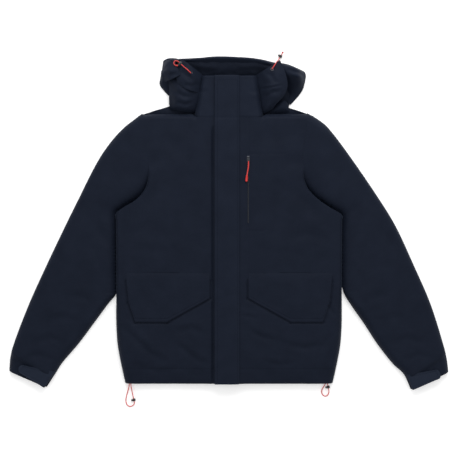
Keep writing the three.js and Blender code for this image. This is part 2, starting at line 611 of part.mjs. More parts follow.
function hood() {
  hoodSide("right", -1, HOOD_RIGHT_REACH, HOOD_RIGHT);
  hoodSide("left", 1, HOOD_LEFT_REACH, HOOD_LEFT);
  const rows = [
    [7, HOOD_INSIDE], [18, HOOD_INSIDE], [30, HOOD_INSIDE],
    [36, HOOD_FOLD], [44, HOOD_FOLD], [HOOD_BEYOND_COLLAR, HOOD_FOLD],
  ];
  const back = rows.map(([past, height]) => [COLLAR_TOP + past, -HOOD_SEAM_X, HOOD_SEAM_X, height]);
  add("hood_back", heap(back, 18), shellCloth);
}

// ---------------------------------------------------------------- eyelets, cords and cord locks
// A flat ring that faces up, with a round lip.
function eyelet(name, at) {
  const ring = [[2, -0.7], [4.2, -0.7], [4.2, 0.4], [3.6, 0.7], [2.4, 0.7], [2, 0.3], [2, -0.7]];
  const geometry = new THREE.LatheGeometry(ring.map(([r, h]) => new THREE.Vector2(r, h)), 16);
  add(name, geometry.rotateX(Math.PI / 2).translate(...at), eyeletMetal);
}

// A cord lock about its cord hole: the cord runs along the lock's x, and the plunger is pressed along -y.
function cordLock(name, at, turn) {
  const { along, press, high, hole, holeUp, bore, stem, head, travel } = LOCK;
  const peg = (diameter, y0, y1) => {
    const length = y1 - y0;
    return new THREE.CylinderGeometry(diameter / 2, diameter / 2, length, 20)
      .translate(0, y0 + length / 2, 0);
  };
  const top = press / 2 - holeUp;
  const foot = -hole / 2 - 0.8; // the plunger's end at rest
  const cordHole = new THREE.CylinderGeometry(hole / 2, hole / 2, along + 4, 16).rotateZ(Math.PI / 2);
  const shell = new THREE.BoxGeometry(along, press, high).translate(0, -holeUp, 0);
  const body = cut(shell, peg(bore, foot - travel - 0.3, top + 1), cordHole);
  const cap = top + travel + 0.3;
  const slot = new THREE.BoxGeometry(stem + 4, hole + travel + 0.3, hole).translate(0, (travel + 0.3) / 2, 0);
  const plunger = cut(joined(peg(stem, foot, cap + 0.5), peg(head, cap, cap + 1.3)), slot);
  const place = (geometry) => geometry.rotateZ(turn).translate(...at);
  add(`${name}_lock`, place(body), lockPlastic);
  add(`${name}_plunger`, place(plunger), lockPlastic);
}

// The straight stretch of cord that a lock slides on: points at distances along its heading.
const straight = ([x, y, z], [dx, dy, dz], distances) => {
  const length = Math.hypot(dx, dy, dz);
  return distances.map((d) => [x + (dx / length) * d, y + (dy / length) * d, z + (dz / length) * d]);
};

// Each cord: where its lock sits, which way the cord runs through it, and its route before and after
// that stretch.
const CORDS = [
  {
    name: "hem_right", lockAt: [-251.5, -465, 4.3], heading: [-7.4, 36, 1.1],
    stretch: [-8, 0, 10, 20, 30, 36],
    before: [
      [-263.2, -420, 6.4], [-264, -428, 5], [-267, -440, 2.6], [-270.4, -452, 1.6], [-272.4, -462, 1.6],
      [-272.4, -471, 1.6], [-269.4, -478.6, 1.6], [-263.4, -482.6, 1.7],
      [-256.4, -481.4, 2.4], [-251.6, -477.6, 3.4],
    ],
    after: [[-259.4, -420, 6.4]],
  },
  {
    name: "hem_left", lockAt: [262, -431, 4.6], heading: [-2.2, 12, 0.6], stretch: [-13, -8, 0, 6],
    before: [
      [255.6, -420, 6.4], [252.4, -426.6, 4], [248.2, -434, 2],
      [245.4, -441, 1.6], [246, -448.6, 1.6], [250, -454, 1.6],
      [256, -455.6, 1.8], [261.6, -451.4, 2.8],
    ],
    after: [[259.6, -420, 6.4]],
  },
  {
    name: "hood_right", lockAt: [-127, 417.4, 52], heading: [-11, 9.6, 0], stretch: [-18, -12, -6, 0, 7],
    before: [[-99.5, 392.9, 48.6], [-101, 394.4, 51.2], [-105, 398.2, 52.2]],
    after: [
      [-138, 424.4, 52.4], [-142.8, 421.4, 52], [-143, 416, 51],
      [-139, 412.2, 50.4], [-134.6, 412.2, 50.2],
    ],
  },
  {
    name: "hood_left", lockAt: [136, 443, 4.6], heading: [7, 12, 0], stretch: [-7, 0, 6, 12],
    before: [
      [112.4, 403, 50.4], [113.6, 405, 53], [116.4, 409.6, 53.6],
      [119.6, 414.8, 51.2], [122.6, 419.8, 45], [125.4, 424.4, 35],
      [127.8, 428.4, 22], [129.8, 431.8, 10.4],
    ],
    after: [],
  },
];

function cords() {
  eyelet("hood_eyelet_right", [-99.2, 392.6, 47.4]);
  eyelet("hood_eyelet_left", [112.2, 402.6, 49.1]);
  for (const { name, lockAt, heading, stretch, before, after } of CORDS) {
    const route = [...before, ...straight(lockAt, heading, stretch), ...after];
    add(`${name}_cord`, rod(route, CORD, 2.2 * CORD), redCord);
    cordLock(name, lockAt, Math.atan2(heading[1], heading[0]));
  }
}

// A flat tunnel sewn inside the back hem, with the hem's elastic in it, and a slot at each end for its loop.
function hemTunnel() {
  const { reach, deep, wall, hollow, slot } = TUNNEL;
  const near = HEM_Y + 1;
  const foot = BACK_TOP + GAP;
  const outer = block(-reach, reach, near, near + deep, foot, foot + hollow + 2 * wall);
  const inner = block(
    -reach - 5, reach + 5, near + wall, near + deep - wall, foot + wall, foot + wall + hollow,
  );
  const slots = [-261.3, 257.6].map((x) =>
    block(x - slot / 2, x + slot / 2, near - 5, near + 5, foot + wall, foot + wall + hollow));
  add("hem_tunnel", cut(outer, inner, ...slots), liningCloth);
  const y = near + deep / 2;
  const z = foot + wall + hollow / 2;
  add("hem_elastic", rod([[-reach + 1, y, z], [0, y, z], [reach - 1, y, z]], CORD, 60), redCord);
}

backPanel();
frontPanel("front_panel_right", -1);
frontPanel("front_panel_left", 1);
linings();
collar();
hangerLoop();
frontZip();
frontSlider();
stormFlap();
chestPocket();
chestSlider();
handPockets();
sleeves();
hood();
cords();
hemTunnel();

export default jacket;
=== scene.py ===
"""A foul weather jacket laid flat on its back: front up, hood towards +Y, the wearer's left at +X.
It is put together from the back layer up: back, body fronts, zips and pockets, sleeves, hood, cords."""

import math

import bpy
import numpy as np
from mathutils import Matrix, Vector, noise


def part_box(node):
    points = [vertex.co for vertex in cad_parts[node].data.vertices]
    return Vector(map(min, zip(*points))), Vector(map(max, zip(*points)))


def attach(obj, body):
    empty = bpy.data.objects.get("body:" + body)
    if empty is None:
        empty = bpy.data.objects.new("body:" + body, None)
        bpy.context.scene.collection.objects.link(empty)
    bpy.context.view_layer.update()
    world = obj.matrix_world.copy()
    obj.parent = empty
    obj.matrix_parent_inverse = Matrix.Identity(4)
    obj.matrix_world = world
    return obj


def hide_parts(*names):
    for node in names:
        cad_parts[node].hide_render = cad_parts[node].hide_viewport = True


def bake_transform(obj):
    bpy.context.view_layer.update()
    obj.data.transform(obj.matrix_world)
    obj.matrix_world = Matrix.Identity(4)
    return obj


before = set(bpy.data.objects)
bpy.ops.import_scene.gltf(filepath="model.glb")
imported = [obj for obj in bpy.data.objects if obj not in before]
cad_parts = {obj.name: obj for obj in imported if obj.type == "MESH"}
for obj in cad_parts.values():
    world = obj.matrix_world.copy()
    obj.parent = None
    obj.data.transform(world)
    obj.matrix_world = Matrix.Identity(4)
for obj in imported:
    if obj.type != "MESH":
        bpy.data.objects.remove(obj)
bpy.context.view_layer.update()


# ---------------------------------------------------------------- camera
# The camera looks straight down on the laid-out jacket, from three metres up.
# It comes first, because the cords' lengths are judged by what it sees.
lens = bpy.data.cameras.new("overhead_lens")
lens.lens = 89.1
lens.sensor_width = 36
lens.clip_end = 50
camera = bpy.data.objects.new("overhead_camera", lens)
camera.location = (0, -0.0134, 3.0)
bpy.context.scene.collection.objects.link(camera)
bpy.context.scene.camera = camera


# ---------------------------------------------------------------- cords at hem and hood
# Thin round shock cord with a braided red cover. At the hem each end of the elastic comes out as a loop
# through a squeeze lock; at the hood the two ends come out of eyelets and stop in a knot past the lock.
CORD = 2.4


class Shade:
    """An output of a material's node tree. Sums and products of it add the nodes they need."""

    def __init__(self, tree, socket=None):
        self.tree, self.socket = tree, socket

    def make(self, kind, settings=None, inputs=None, out=0):
        node = self.tree.nodes.new(kind)
        for key, value in (settings or {}).items():
            if key == "stops":
                for stop, (place, colour) in zip(node.color_ramp.elements, value):
                    stop.position, stop.color = place, colour
            else:
                setattr(node, key, value)
        for key, value in (inputs or {}).items():
            if isinstance(value, Shade):
                self.tree.links.new(value.socket, node.inputs[key])
            else:
                node.inputs[key].default_value = value
        return Shade(self.tree, node.outputs[out])

    def maths(self, operation, a, b=0.0):
        return self.make("ShaderNodeMath", {"operation": operation}, {0: a, 1: b})

    def __add__(self, other):
        return self.maths("ADD", self, other)

    def __sub__(self, other):
        return self.maths("SUBTRACT", self, other)

    def __rsub__(self, other):
        return self.maths("SUBTRACT", other, self)

    def __mul__(self, other):
        return self.maths("MULTIPLY", self, other)

    __radd__ = __add__
    __rmul__ = __mul__

    def mixed(self, low, high):
        """A colour from low to high as this value goes from 0 to 1."""
        sockets = {0: self, 6: (*low, 1), 7: (*high, 1)}
        return self.make("ShaderNodeMix", {"data_type": "RGBA"}, sockets, out=2)

    def noise(self, scale, detail=3.0):
        sockets = {"Vector": self, "Scale": scale, "Detail": detail}
        return self.make("ShaderNodeTexNoise", {}, sockets, out="Fac")

    def ribs(self, pitch, direction, warp=0.0):
        """Fine parallel ribs this far apart, in metres."""
        settings = {"wave_type": "BANDS", "bands_direction": direction}
        inputs = {"Vector": self, "Scale": math.pi / 10 / pitch, "Distortion": warp, "Detail": 1.0}
        return self.make("ShaderNodeTexWave", settings, inputs, out="Fac")


def surface(name, **settings):
    """A new material: its surface shader, with the even settings made, and the place on the object."""
    material = bpy.data.materials.new(name)
    material.use_nodes = True
    shader = material.node_tree.nodes["Principled BSDF"]
    for key, value in settings.items():
        shader.inputs[key.replace("_", " ")].default_value = value
    place = Shade(material.node_tree).make("ShaderNodeTexCoord", out="Object")
    return material, shader, place


def apply_to(shader, colour=None, rough=None, relief=None, depth=0.0001):
    """Leads a colour, a roughness and a relief, this many metres deep, into the shader."""
    links = shader.id_data.links
    if colour:
        links.new(colour.socket, shader.inputs["Base Color"])
    if rough:
        links.new(rough.socket, shader.inputs["Roughness"])
    if relief:
        bump = relief.make("ShaderNodeBump", {}, {"Height": relief, "Distance": depth, "Strength": 1.0})
        links.new(bump.socket, shader.inputs["Normal"])


def grained(name, dark, light, rough, scale=800, detail=2, **settings):
    """A moulded or cast finish with a fine grain, at least this rough."""
    material, shader, place = surface(name, **settings)
    grain = place.noise(scale, detail)
    apply_to(shader, grain.mixed(dark, light), grain * 0.2 + rough, grain, 0.00003)
    return material


def braided_cord(name, dark, light):
    """A tight diagonal braid, crossed by finer rows."""
    material, shader, place = surface(name, Sheen_Weight=0.3, IOR=1.45)
    strands = place.ribs(0.0011, "DIAGONAL", 1.5) * (1 - place.ribs(0.0014, "Y", 1.0) * 0.5)
    apply_to(shader, strands.mixed(dark, light), strands * -0.15 + 0.62, strands, 0.0002)
    return material


RED_DARK, RED_LIGHT = (0.44, 0.012, 0.012), (0.82, 0.05, 0.04)
red_braid = braided_cord("red_braid", RED_DARK, RED_LIGHT)


def eased(p, tangent, i, u, step=1):
    """Places a share u of the way from row i to the next, leaving and meeting them along the tangents."""
    ends = (1 + 2 * u) * (1 - u) ** 2 * p[i] + u * u * (3 - 2 * u) * p[i + 1]
    return ends + step * (u * (1 - u) ** 2 * tangent[i] + u * u * (u - 1) * tangent[i + 1])


def through(rows, count):
    """A smooth run of count rows through the given rows, which keep their spacing."""
    p = np.asarray(rows, float)
    slope = np.diff(p, axis=0)
    tangent = np.concatenate([slope[:1], (slope[:-1] + slope[1:]) / 2, slope[-1:]])
    at = np.linspace(0, len(p) - 1, count)
    i = np.minimum(at.astype(int), len(p) - 2)
    u = (at - i).reshape(-1, *[1] * (p.ndim - 1))
    return eased(p, tangent, i, u)


def even(line, count):
    """The same line with its points evenly spaced."""
    line = np.asarray(line, float)
    run = np.concatenate([[0], np.cumsum(np.linalg.norm(np.diff(line, axis=0), axis=1))])
    at = np.linspace(0, run[-1], count)
    return np.column_stack([np.interp(at, run, line[:, k]) for k in range(line.shape[1])])


def smooth_line(points, count):
    """Evenly spaced points on a smooth curve, which doesn't swing out beside close points."""
    p = np.array(points, float)
    knots = np.concatenate([[0], np.cumsum(np.sqrt(np.linalg.norm(np.diff(p, axis=0), axis=1)))])
    step = np.diff(knots)[:, None]
    slope = np.diff(p, axis=0) / step
    middle = (slope[:-1] * step[1:] + slope[1:] * step[:-1]) / (step[:-1] + step[1:])
    tangent = np.vstack([slope[:1], middle, slope[-1:]])
    at = np.linspace(0, knots[-1], 16 * len(p))
    i = np.clip(np.searchsorted(knots, at, side="right") - 1, 0, len(p) - 2)
    return even(eased(p, tangent, i, (at - knots[i])[:, None] / step[i], step[i]), count)


MM = 0.001


def box_mm(node):
    """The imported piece's two box corners, in millimetres."""
    return [np.array(corner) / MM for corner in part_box(node)]


def placed(piece, body, slot, *nodes):
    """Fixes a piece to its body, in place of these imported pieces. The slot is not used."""
    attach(piece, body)
    if nodes:
        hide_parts(*nodes)


def link(thing, material):
    """Puts an object in the scene, in this material."""
    bpy.context.scene.collection.objects.link(thing)
    thing.data.materials.append(material)
    return thing


def round_cord(name, points, diameter, material):
    """A cord along a smooth line of points in millimetres."""
    line = smooth_line(points, 60)
    curve = bpy.data.curves.new(name, "CURVE")
    curve.dimensions = "3D"
    curve.bevel_depth = diameter / 2 * MM
    curve.bevel_resolution = 4
    curve.use_fill_caps = True
    run = curve.splines.new("POLY")
    run.points.add(len(line) - 1)
    for point, place in zip(run.points, line * MM):
        point.co = (*place, 1)
    length = np.linalg.norm(np.diff(line, axis=0), axis=1).sum() * MM
    return link(bpy.data.objects.new(name, curve), material), line, length


def solid(name, vertices, faces, material, sharp=40):
    """A mesh in millimetres, shaded smooth but for edges sharper than this many degrees."""
    mesh = bpy.data.meshes.new(name)
    mesh.from_pydata((np.asarray(vertices, float) * MM).tolist(), [], [list(map(int, f)) for f in faces])
    mesh.update()
    mesh.shade_smooth()
    mesh.set_sharp_from_angle(angle=math.radians(sharp))
    return link(bpy.data.objects.new(name, mesh), material)


def ringed(rings, close_ends=True):
    """Vertices and faces of a body that runs through equal rings of points."""
    rings = np.asarray(rings, float)
    count, around = rings.shape[:2]
    faces = []
    for low in range(0, (count - 1) * around, around):
        for k in range(around):
            after = (k + 1) % around
            faces.append((low + k, low + after, low + around + after, low + around + k))
    if close_ends:
        faces += [tuple(range(around))[::-1], tuple(range((count - 1) * around, count * around))]
    return rings.reshape(-1, 3), faces


def turned(profile, centre, along, flat=1.0, around=28):
    """Rings of a turned body: (distance along its line, radius) pairs, flattened in height by flat."""
    along = Vector(along).normalized()
    aside = along.cross(Vector((0, 0, 1))).normalized()
    up = aside.cross(along)
    angles = np.linspace(0, 2 * math.pi, around, endpoint=False)
    circle = np.outer(np.cos(angles), aside) + flat * np.outer(np.sin(angles), up)
    return [np.array(centre) + at * np.array(along) + radius * circle for at, radius in profile]


def merged(parts):
    """Several bodies as one list of vertices and one of faces."""
    vertices, faces = [], []
    for more, cells in parts:
        faces += [[v + len(vertices) for v in cell] for cell in cells]
        vertices += np.asarray(more).tolist()
    return vertices, faces


LOCK_DARK, LOCK_LIGHT = (0.012, 0.011, 0.012), (0.024, 0.022, 0.023)
lock_plastic = grained("lock_plastic", LOCK_DARK, LOCK_LIGHT, 0.3, 900, Specular_IOR_Level=0.5)

CORDS = {
    "hem_right": dict(
        body="jacket",
        at=(-251.5, -465, 4.3),
        heading=(-7.4, 36, 1.1),
        stretch=(-8, 0, 10, 20, 30, 36),
        before=[
            (-263.2, -420, 6.4), (-264, -428, 5), (-267, -440, 2.6), (-270.4, -452, 1.6),
            (-272.4, -462, 1.6), (-272.4, -471, 1.6), (-269.4, -478.6, 1.6), (-263.4, -482.6, 1.7),
            (-256.4, -481.4, 2.4), (-251.6, -477.6, 3.4),
        ],
        after=[(-259.4, -420, 6.4)],
    ),
    "hem_left": dict(
        body="jacket",
        at=(262, -431, 4.6),
        heading=(-2.2, 12, 0.6),
        stretch=(-13, -8, 0, 6),
        before=[
            (255.6, -420, 6.4), (252.4, -426.6, 4), (248.2, -434, 2), (245.4, -441, 1.6),
            (246, -448.6, 1.6), (250, -454, 1.6), (256, -455.6, 1.8), (261.6, -451.4, 2.8),
        ],
        after=[(259.6, -420, 6.4)],
    ),
    "hood_right": dict(
        body="hood",
        at=(-127, 417.4, 52),
        heading=(-11, 9.6, 0),
        stretch=(-18, -12, -6, 0, 7),
        before=[(-99.5, 392.9, 48.6), (-101, 394.4, 51.2), (-105, 398.2, 52.2)],
        after=[
            (-138, 424.4, 52.4), (-142.8, 421.4, 52), (-143, 416, 51), (-139, 412.2, 50.4),
            (-134.6, 412.2, 50.2),
        ],
    ),
    "hood_left": dict(
        body="hood",
        at=(136, 443, 4.6),
        heading=(7, 12, 0),
        stretch=(-7, 0, 6, 12),
        before=[
            (112.4, 403, 50.4), (113.6, 405, 53), (116.4, 409.6, 53.6), (119.6, 414.8, 51.2),
            (122.6, 419.8, 45), (125.4, 424.4, 35), (127.8, 428.4, 22), (129.8, 431.8, 10.4),
        ],
        after=[],
    ),
}
BARREL = [
    (-4.4, 0.1), (-4.4, 2.4), (-3.9, 3.3), (-2.6, 3.8), (2.2, 3.8), (3.2, 3.5), (3.6, 3.0), (3.6, 2.6),
    (1.3, 2.6), (1.3, 0.1),
]
LOCK_FLAT = 0.95
BUTTON = [(3.5, 0.1), (3.5, 2.3), (5.6, 2.3), (5.7, 2.9), (6.3, 3.1), (6.9, 2.6), (7.1, 1.5), (7.2, 0.1)]
KNOT = [(-2.2, 0.9), (-1.8, 1.9), (-0.9, 2.3), (-0.2, 1.9), (0.5, 2.3), (1.4, 2.0), (2.0, 1.0), (2.2, 0.3)]
for name, facts in CORDS.items():
    at, heading = np.array(facts["at"]), Vector(facts["heading"]).normalized()
    straight = [at + distance * np.array(heading) for distance in facts["stretch"]]
    cord, line, length = round_cord(
        f"{name}_shock_cord", [*facts["before"], *straight, *facts["after"]], CORD, red_braid
    )
    placed(cord, facts["body"], "red_cord", f"{name}_cord")
    low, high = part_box(f"{name}_plunger")
    press = ((low + high) / 2 / MM - Vector(at)).normalized()
    press = (press - press.dot(heading) * heading).normalized()
    barrel = solid(f"{name}_lock_barrel", *ringed(turned(BARREL, at, press, LOCK_FLAT)), lock_plastic)
    placed(barrel, f"{name}_lock", "lock_plastic", f"{name}_lock")
    button = solid(f"{name}_lock_button", *ringed(turned(BUTTON, at, press, LOCK_FLAT)), lock_plastic)
    placed(button, f"{name}_plunger", "lock_plastic", f"{name}_plunger")
    on_it, far_end = [barrel, button], "object"
    if facts["body"] == "hood":
        tip, before = Vector(line[-1]), Vector(line[-5])
        end = solid(f"{name}_end_knot", *ringed(turned(KNOT, tip, tip - before)), red_braid, 70)
        placed(end, "hood", "red_cord")
        on_it.append(end)
        far_end = "knot"
    line[0] * MM


# ---------------------------------------------------------------- back
# The back is one layer of the coated shell cloth, face down on the table, up to a yoke behind the neck.
# Its sides are sewn to the fronts and its shoulders to the sleeves; a thin lining lies on it.
HEM_Y = box_mm("back_panel")[0][1]
FRONT_TOP = box_mm("front_panel_left")[1][2]
NECK_Y, COLLAR_TOP = (corner[1] for corner in box_mm("collar_front_left"))
SIDES = (("right", -1), ("left", 1))


def shell_cloth(name, dark, light, crinkle=0.0005):
    """Matt coated weave: fine crossed threads, a slight crinkle and a faint uneven tone."""
    material, shader, place = surface(name, Sheen_Weight=0.05, Sheen_Roughness=0.4, Specular_IOR_Level=0.06)
    shader.inputs["Sheen Tint"].default_value = (0.55, 0.65, 0.9, 1)
    tone = place.noise(24, 4) * 0.7 + place.noise(420, 2) * 0.3
    weave = place.ribs(0.0009, "X", 0.6) * 0.5 + place.ribs(0.0009, "Y", 0.6) * 0.5
    relief = place.noise(95, 4) + weave * 0.05
    apply_to(shader, tone.mixed(dark, light), tone * 0.25 + 0.5, relief, crinkle)
    return material


NAVY_DARK, NAVY_LIGHT = (0.0046, 0.0070, 0.0142), (0.0110, 0.0150, 0.0272)
shell = shell_cloth("shell_cloth", NAVY_DARK, NAVY_LIGHT)
# The raised, doubled pieces (collar and storm flap) are the same shell cloth in a slightly lighter copy:
# painted highlight.
RAISED_HIGHLIGHT_DARK, RAISED_HIGHLIGHT_LIGHT = (0.0052, 0.0078, 0.0156), (0.0118, 0.0161, 0.0290)
raised_shell_painted_highlight = shell_cloth("shell_cloth_doubled_painted_highlight", RAISED_HIGHLIGHT_DARK, RAISED_HIGHLIGHT_LIGHT, 0.0004)
lining = shell_cloth("lining_cloth", (0.0060, 0.0082, 0.0150), (0.0120, 0.0160, 0.0280), 0.0003)


def cloth(name, top, thick, material, keep=None, closed=False):
    """A sheet this thick under a grid of points; keep marks the cells that aren't cut away."""
    rows, cols = top.shape[:2]
    normal = np.cross(np.gradient(top, axis=1), np.gradient(top, axis=0))
    normal /= np.linalg.norm(normal, axis=2, keepdims=True) + 1e-9
    if normal[..., 2].mean() < 0 and not closed:
        normal = -normal
    under = top - normal * thick
    if keep is None:
        keep = np.ones((rows - 1, cols - 1), bool)
    mark = np.arange(rows * cols).reshape(rows, cols)
    a, b, c, d = mark[:-1, :-1], mark[:-1, 1:], mark[1:, 1:], mark[1:, :-1]
    flip = np.cross(top[0, 1] - top[0, 0], top[1, 0] - top[0, 0]) @ normal[0, 0] < 0
    step = -1 if flip else 1
    cells = np.stack([a, b, c, d], axis=-1)[keep][:, ::step]
    faces = [cells, cells[:, ::-1] + rows * cols]
    edge = np.pad(keep, 1)
    inside = edge[1:-1, 1:-1]
    for beside, (p, q) in (
        (edge[:-2, 1:-1], (a, b)), (edge[1:-1, 2:], (b, c)),
        (edge[2:, 1:-1], (c, d)), (edge[1:-1, :-2], (d, a)),
    ):
        open_edge = inside & ~beside
        p, q = (p[open_edge], q[open_edge])[::step]
        faces.append(np.stack([q, p, p + rows * cols, q + rows * cols], axis=-1))
    return solid(name, np.concatenate([top, under]).reshape(-1, 3), np.concatenate(faces), material, 60)


def ripple(x, y, size, seed):
    """Uneven soft waves from -1 to 1, about size apart."""
    flat = [noise.noise(Vector((a / size, b / size, seed))) for a, b in zip(np.ravel(x), np.ravel(y))]
    return np.reshape(flat, np.shape(x))


def fold(x, y, line, width, depth):
    """A crease along a line: a valley with a soft lip on its left, fading out at both ends."""
    line = np.array(line, float)
    run = np.linalg.norm(np.diff(line, axis=0), axis=1)
    nearest = np.full(np.shape(x), 1e9)
    along, across = np.zeros(np.shape(x)), np.zeros(np.shape(x))
    for k, length in enumerate(run):
        dx, dy = (line[k + 1] - line[k]) / length
        off_x, off_y = x - line[k][0], y - line[k][1]
        t = np.clip(off_x * dx + off_y * dy, 0, length)
        distance = np.hypot(off_x - t * dx, off_y - t * dy)
        closer = distance < nearest
        nearest = np.where(closer, distance, nearest)
        along = np.where(closer, (run[:k].sum() + t) / run.sum(), along)
        across = np.where(closer, np.where(off_y * dx - off_x * dy > 0, distance, -distance), across)
    fade = np.sin(math.pi * along) ** 0.7
    lip = 0.6 * np.exp(-(((across - 1.6 * width) / (1.2 * width)) ** 2))
    return fade * depth * (lip - np.exp(-((across / width) ** 2)))


def rolled(distance, radius):
    """How far down a rounded edge has turned, from 0 at radius from the edge to 1 at the edge."""
    return 1 - np.sqrt(1 - (1 - np.clip(distance / radius, 0, 1)) ** 2)


def table_of(value, *pairs):
    """The value between listed (place, amount) pairs."""
    places, amounts = zip(*pairs)
    return np.interp(value, places, amounts)


def lattice(down, across):
    """Two grids: a run of values down the rows and one across the columns, each (from, to, count)."""
    return np.meshgrid(np.linspace(*down), np.linspace(*across), indexing="ij")


SIDE_EDGE = [
    (299, 12), (298.5, -60), (298, -180), (298, -262), (294.5, -317), (289, -350), (281, -388),
    (273.5, -421),
]
side_line = smooth_line(SIDE_EDGE, 80)

v, u = lattice((0, 1, 130), (-1, 1, 120))
shoulder = table_of(abs(u) * 240, (0, 306), (60, 309), (100, 321), (150, 313), (240, 285))
back_y = HEM_Y + v * (shoulder - HEM_Y)
upper_width = table_of(back_y, (0, 297), (120, 285), (200, 262), (240, 246), (270, 240))
lower_width = np.interp(back_y, side_line[::-1, 1], side_line[::-1, 0]) - 1
back_x = u * np.where(back_y > 0, upper_width, lower_width)
back_x = np.where((back_x > 0) & (back_y > 255), back_x * 0.93, back_x)
YOKE_Y, YOKE_RISE, NECK_HALF = 300, 7, 88
rise = YOKE_RISE * np.exp(-(((back_y - YOKE_Y) / 14) ** 2)) * (abs(back_x) > NECK_HALF)
back_z = 2.0 + 0.4 * ripple(back_x, back_y, 70, 3.1) ** 2
back_z = back_z + rise * (0.7 + 0.6 * ripple(back_x, back_y, 30, 8))
back = cloth("back_cloth", np.dstack([back_x, back_y, back_z]), 1.6, shell)
placed(back, "jacket", "shell", "back_panel")

v, u = lattice((-398, 254, 60), (-1, 1, 60))
u = u * table_of(v, (-398, 262), (20, 262), (90, 200), (254, 192))
back_inside = cloth("back_lining_cloth", np.dstack([u, v, 3.9 + 0.5 * ripple(u, v, 50, 1.7)]), 0.6, lining)
placed(back_inside, "jacket", "lining", "back_lining")


# ---------------------------------------------------------------- body fronts
# Two fronts of shell cloth, sewn to the back at the sides and gathered a little into the hem. The left
# one holds the chest zip and both have a pocket's mouth. Their edges roll over the sleeves at the armpits.
LOW_FOLDS = [
    ([(-266, -279), (-238, -308), (-211, -333), (-178, -350)], 9, 3.6),
    ([(-131, -317), (-108, -336), (-85, -354), (-60, -359)], 8, 3.2),
    ([(-130, -282), (-100, -276), (-72, -286)], 9, 2.6),
    ([(-240, -370), (-190, -384), (-140, -380)], 7, 1.8),
    ([(30, -240), (52, -243), (72, -247)], 6, 2.0),
    ([(60, -280), (84, -294), (112, -301)], 7, 2.6),
    ([(150, -312), (192, -323), (232, -318)], 8, 2.8),
    ([(100, -360), (128, -368), (160, -364)], 7, 2.2),
    ([(258, -212), (266, -224), (276, -238)], 6, 2.2),
    ([(262, -300), (240, -336), (228, -372)], 8, 2.4),
]
HIGH_FOLDS = [
    ([(-205, 150), (-190, 168), (-172, 180)], 16, 2.6),
    ([(-250, 30), (-225, 46), (-196, 84), (-186, 120)], 20, 2.4),
    ([(-262, -30), (-230, -12), (-205, 16)], 14, 1.6),
    ([(-240, -60), (-200, -70), (-150, -66)], 12, 1.5),
    ([(-170, 220), (-140, 200), (-120, 170)], 18, 1.8),
    ([(-90, -40), (-70, -70), (-66, -100)], 12, 1.3),
    ([(190, 150), (172, 160), (150, 158)], 14, 1.8),
    ([(240, 20), (216, 40), (190, 74)], 16, 2.0),
    ([(250, -40), (210, -30), (170, -36)], 12, 1.4),
    ([(120, 110), (150, 90), (176, 84)], 14, 1.3),
    ([(90, 240), (130, 228), (170, 236)], 16, 1.4),
    ([(80, -60), (120, -74), (160, -70)], 12, 1.3),
]
FOLD_LENGTH, FOLD_WIDTH, FOLD_DEPTH = 1.45, 1.1, 0.9
FLAP_MIDDLE_X, FLAP_CALM = -5, 44


def front_lie(x, y):
    """Height of the laid fronts' cloth before their edges turn down; what lies on them follows it."""
    z = FRONT_TOP - 0.6 + 1.9 * ripple(x, y, 130, 0.4) + 0.8 * ripple(x, y, 48, 5.2)
    z = z + 0.3 * ripple(x, y, 17, 9.1)
    for line, width, depth in LOW_FOLDS + HIGH_FOLDS:
        middle = np.mean(line, axis=0)
        longer = middle + (np.array(line) - middle) * FOLD_LENGTH
        z = z + fold(x, y, longer, width * FOLD_WIDTH, depth * FOLD_DEPTH)
    calm = np.exp(-(((x - FLAP_MIDDLE_X) / FLAP_CALM) ** 4))
    z = z * (1 - 0.6 * calm) + (FRONT_TOP - 0.6) * 0.6 * calm
    return z - 7.5 * (1 - np.clip((y - HEM_Y) / 90, 0, 1)) ** 1.6 * (1 - calm)


ARMHOLE = {
    "right": [
        (236, 292), (231, 250), (222, 208), (214, 170), (212, 138), (216, 106), (229, 82), (250, 62),
        (279, 45), (299, 28),
    ],
    "left": [
        (213, 292), (210, 250), (204, 205), (199, 160), (198, 120), (207, 96), (221, 79), (240, 63),
        (268, 44), (299, 24),
    ],
}
CHEST_ZIP_X = 50.5
CHEST_LOW, CHEST_HIGH = 1, 178
MOUTH_Y = (-136, -129)
POCKET_EDGE = [(49, -150), (49, -197), (162, -260), (248, -260), (266, -208), (271, -150)]
SHOULDER_Y = 291
TUNNEL = 40
INNER_REACH, COLUMN_STEP = 170, 3.0
FLAP_EDGE_X = -41.5
DROP = 26.5
MOUTH_X = (62, 245)
POCKET_BAG_X, POCKET_BAG_Y = 92, (-19, 184)
edge_line = {word: smooth_line(ARMHOLE[word] + [(299, 4)] + SIDE_EDGE[1:], 160) for word, side in SIDES}
front_grid = {}


def out_to(word, y):
    """How far from the middle this side's body ends at y."""
    return np.interp(y, edge_line[word][::-1, 1], edge_line[word][::-1, 0])


def top_end(x):
    """Where the front's cloth ends towards the shoulder and the neck."""
    return table_of(abs(x), (84, 280), (99, SHOULDER_Y), (200, 290.5), (240, 287))


def groove(x, at, width):
    """A soft groove across x, from 1 at its middle to 0."""
    return np.exp(-(((x - at) / width) ** 2))


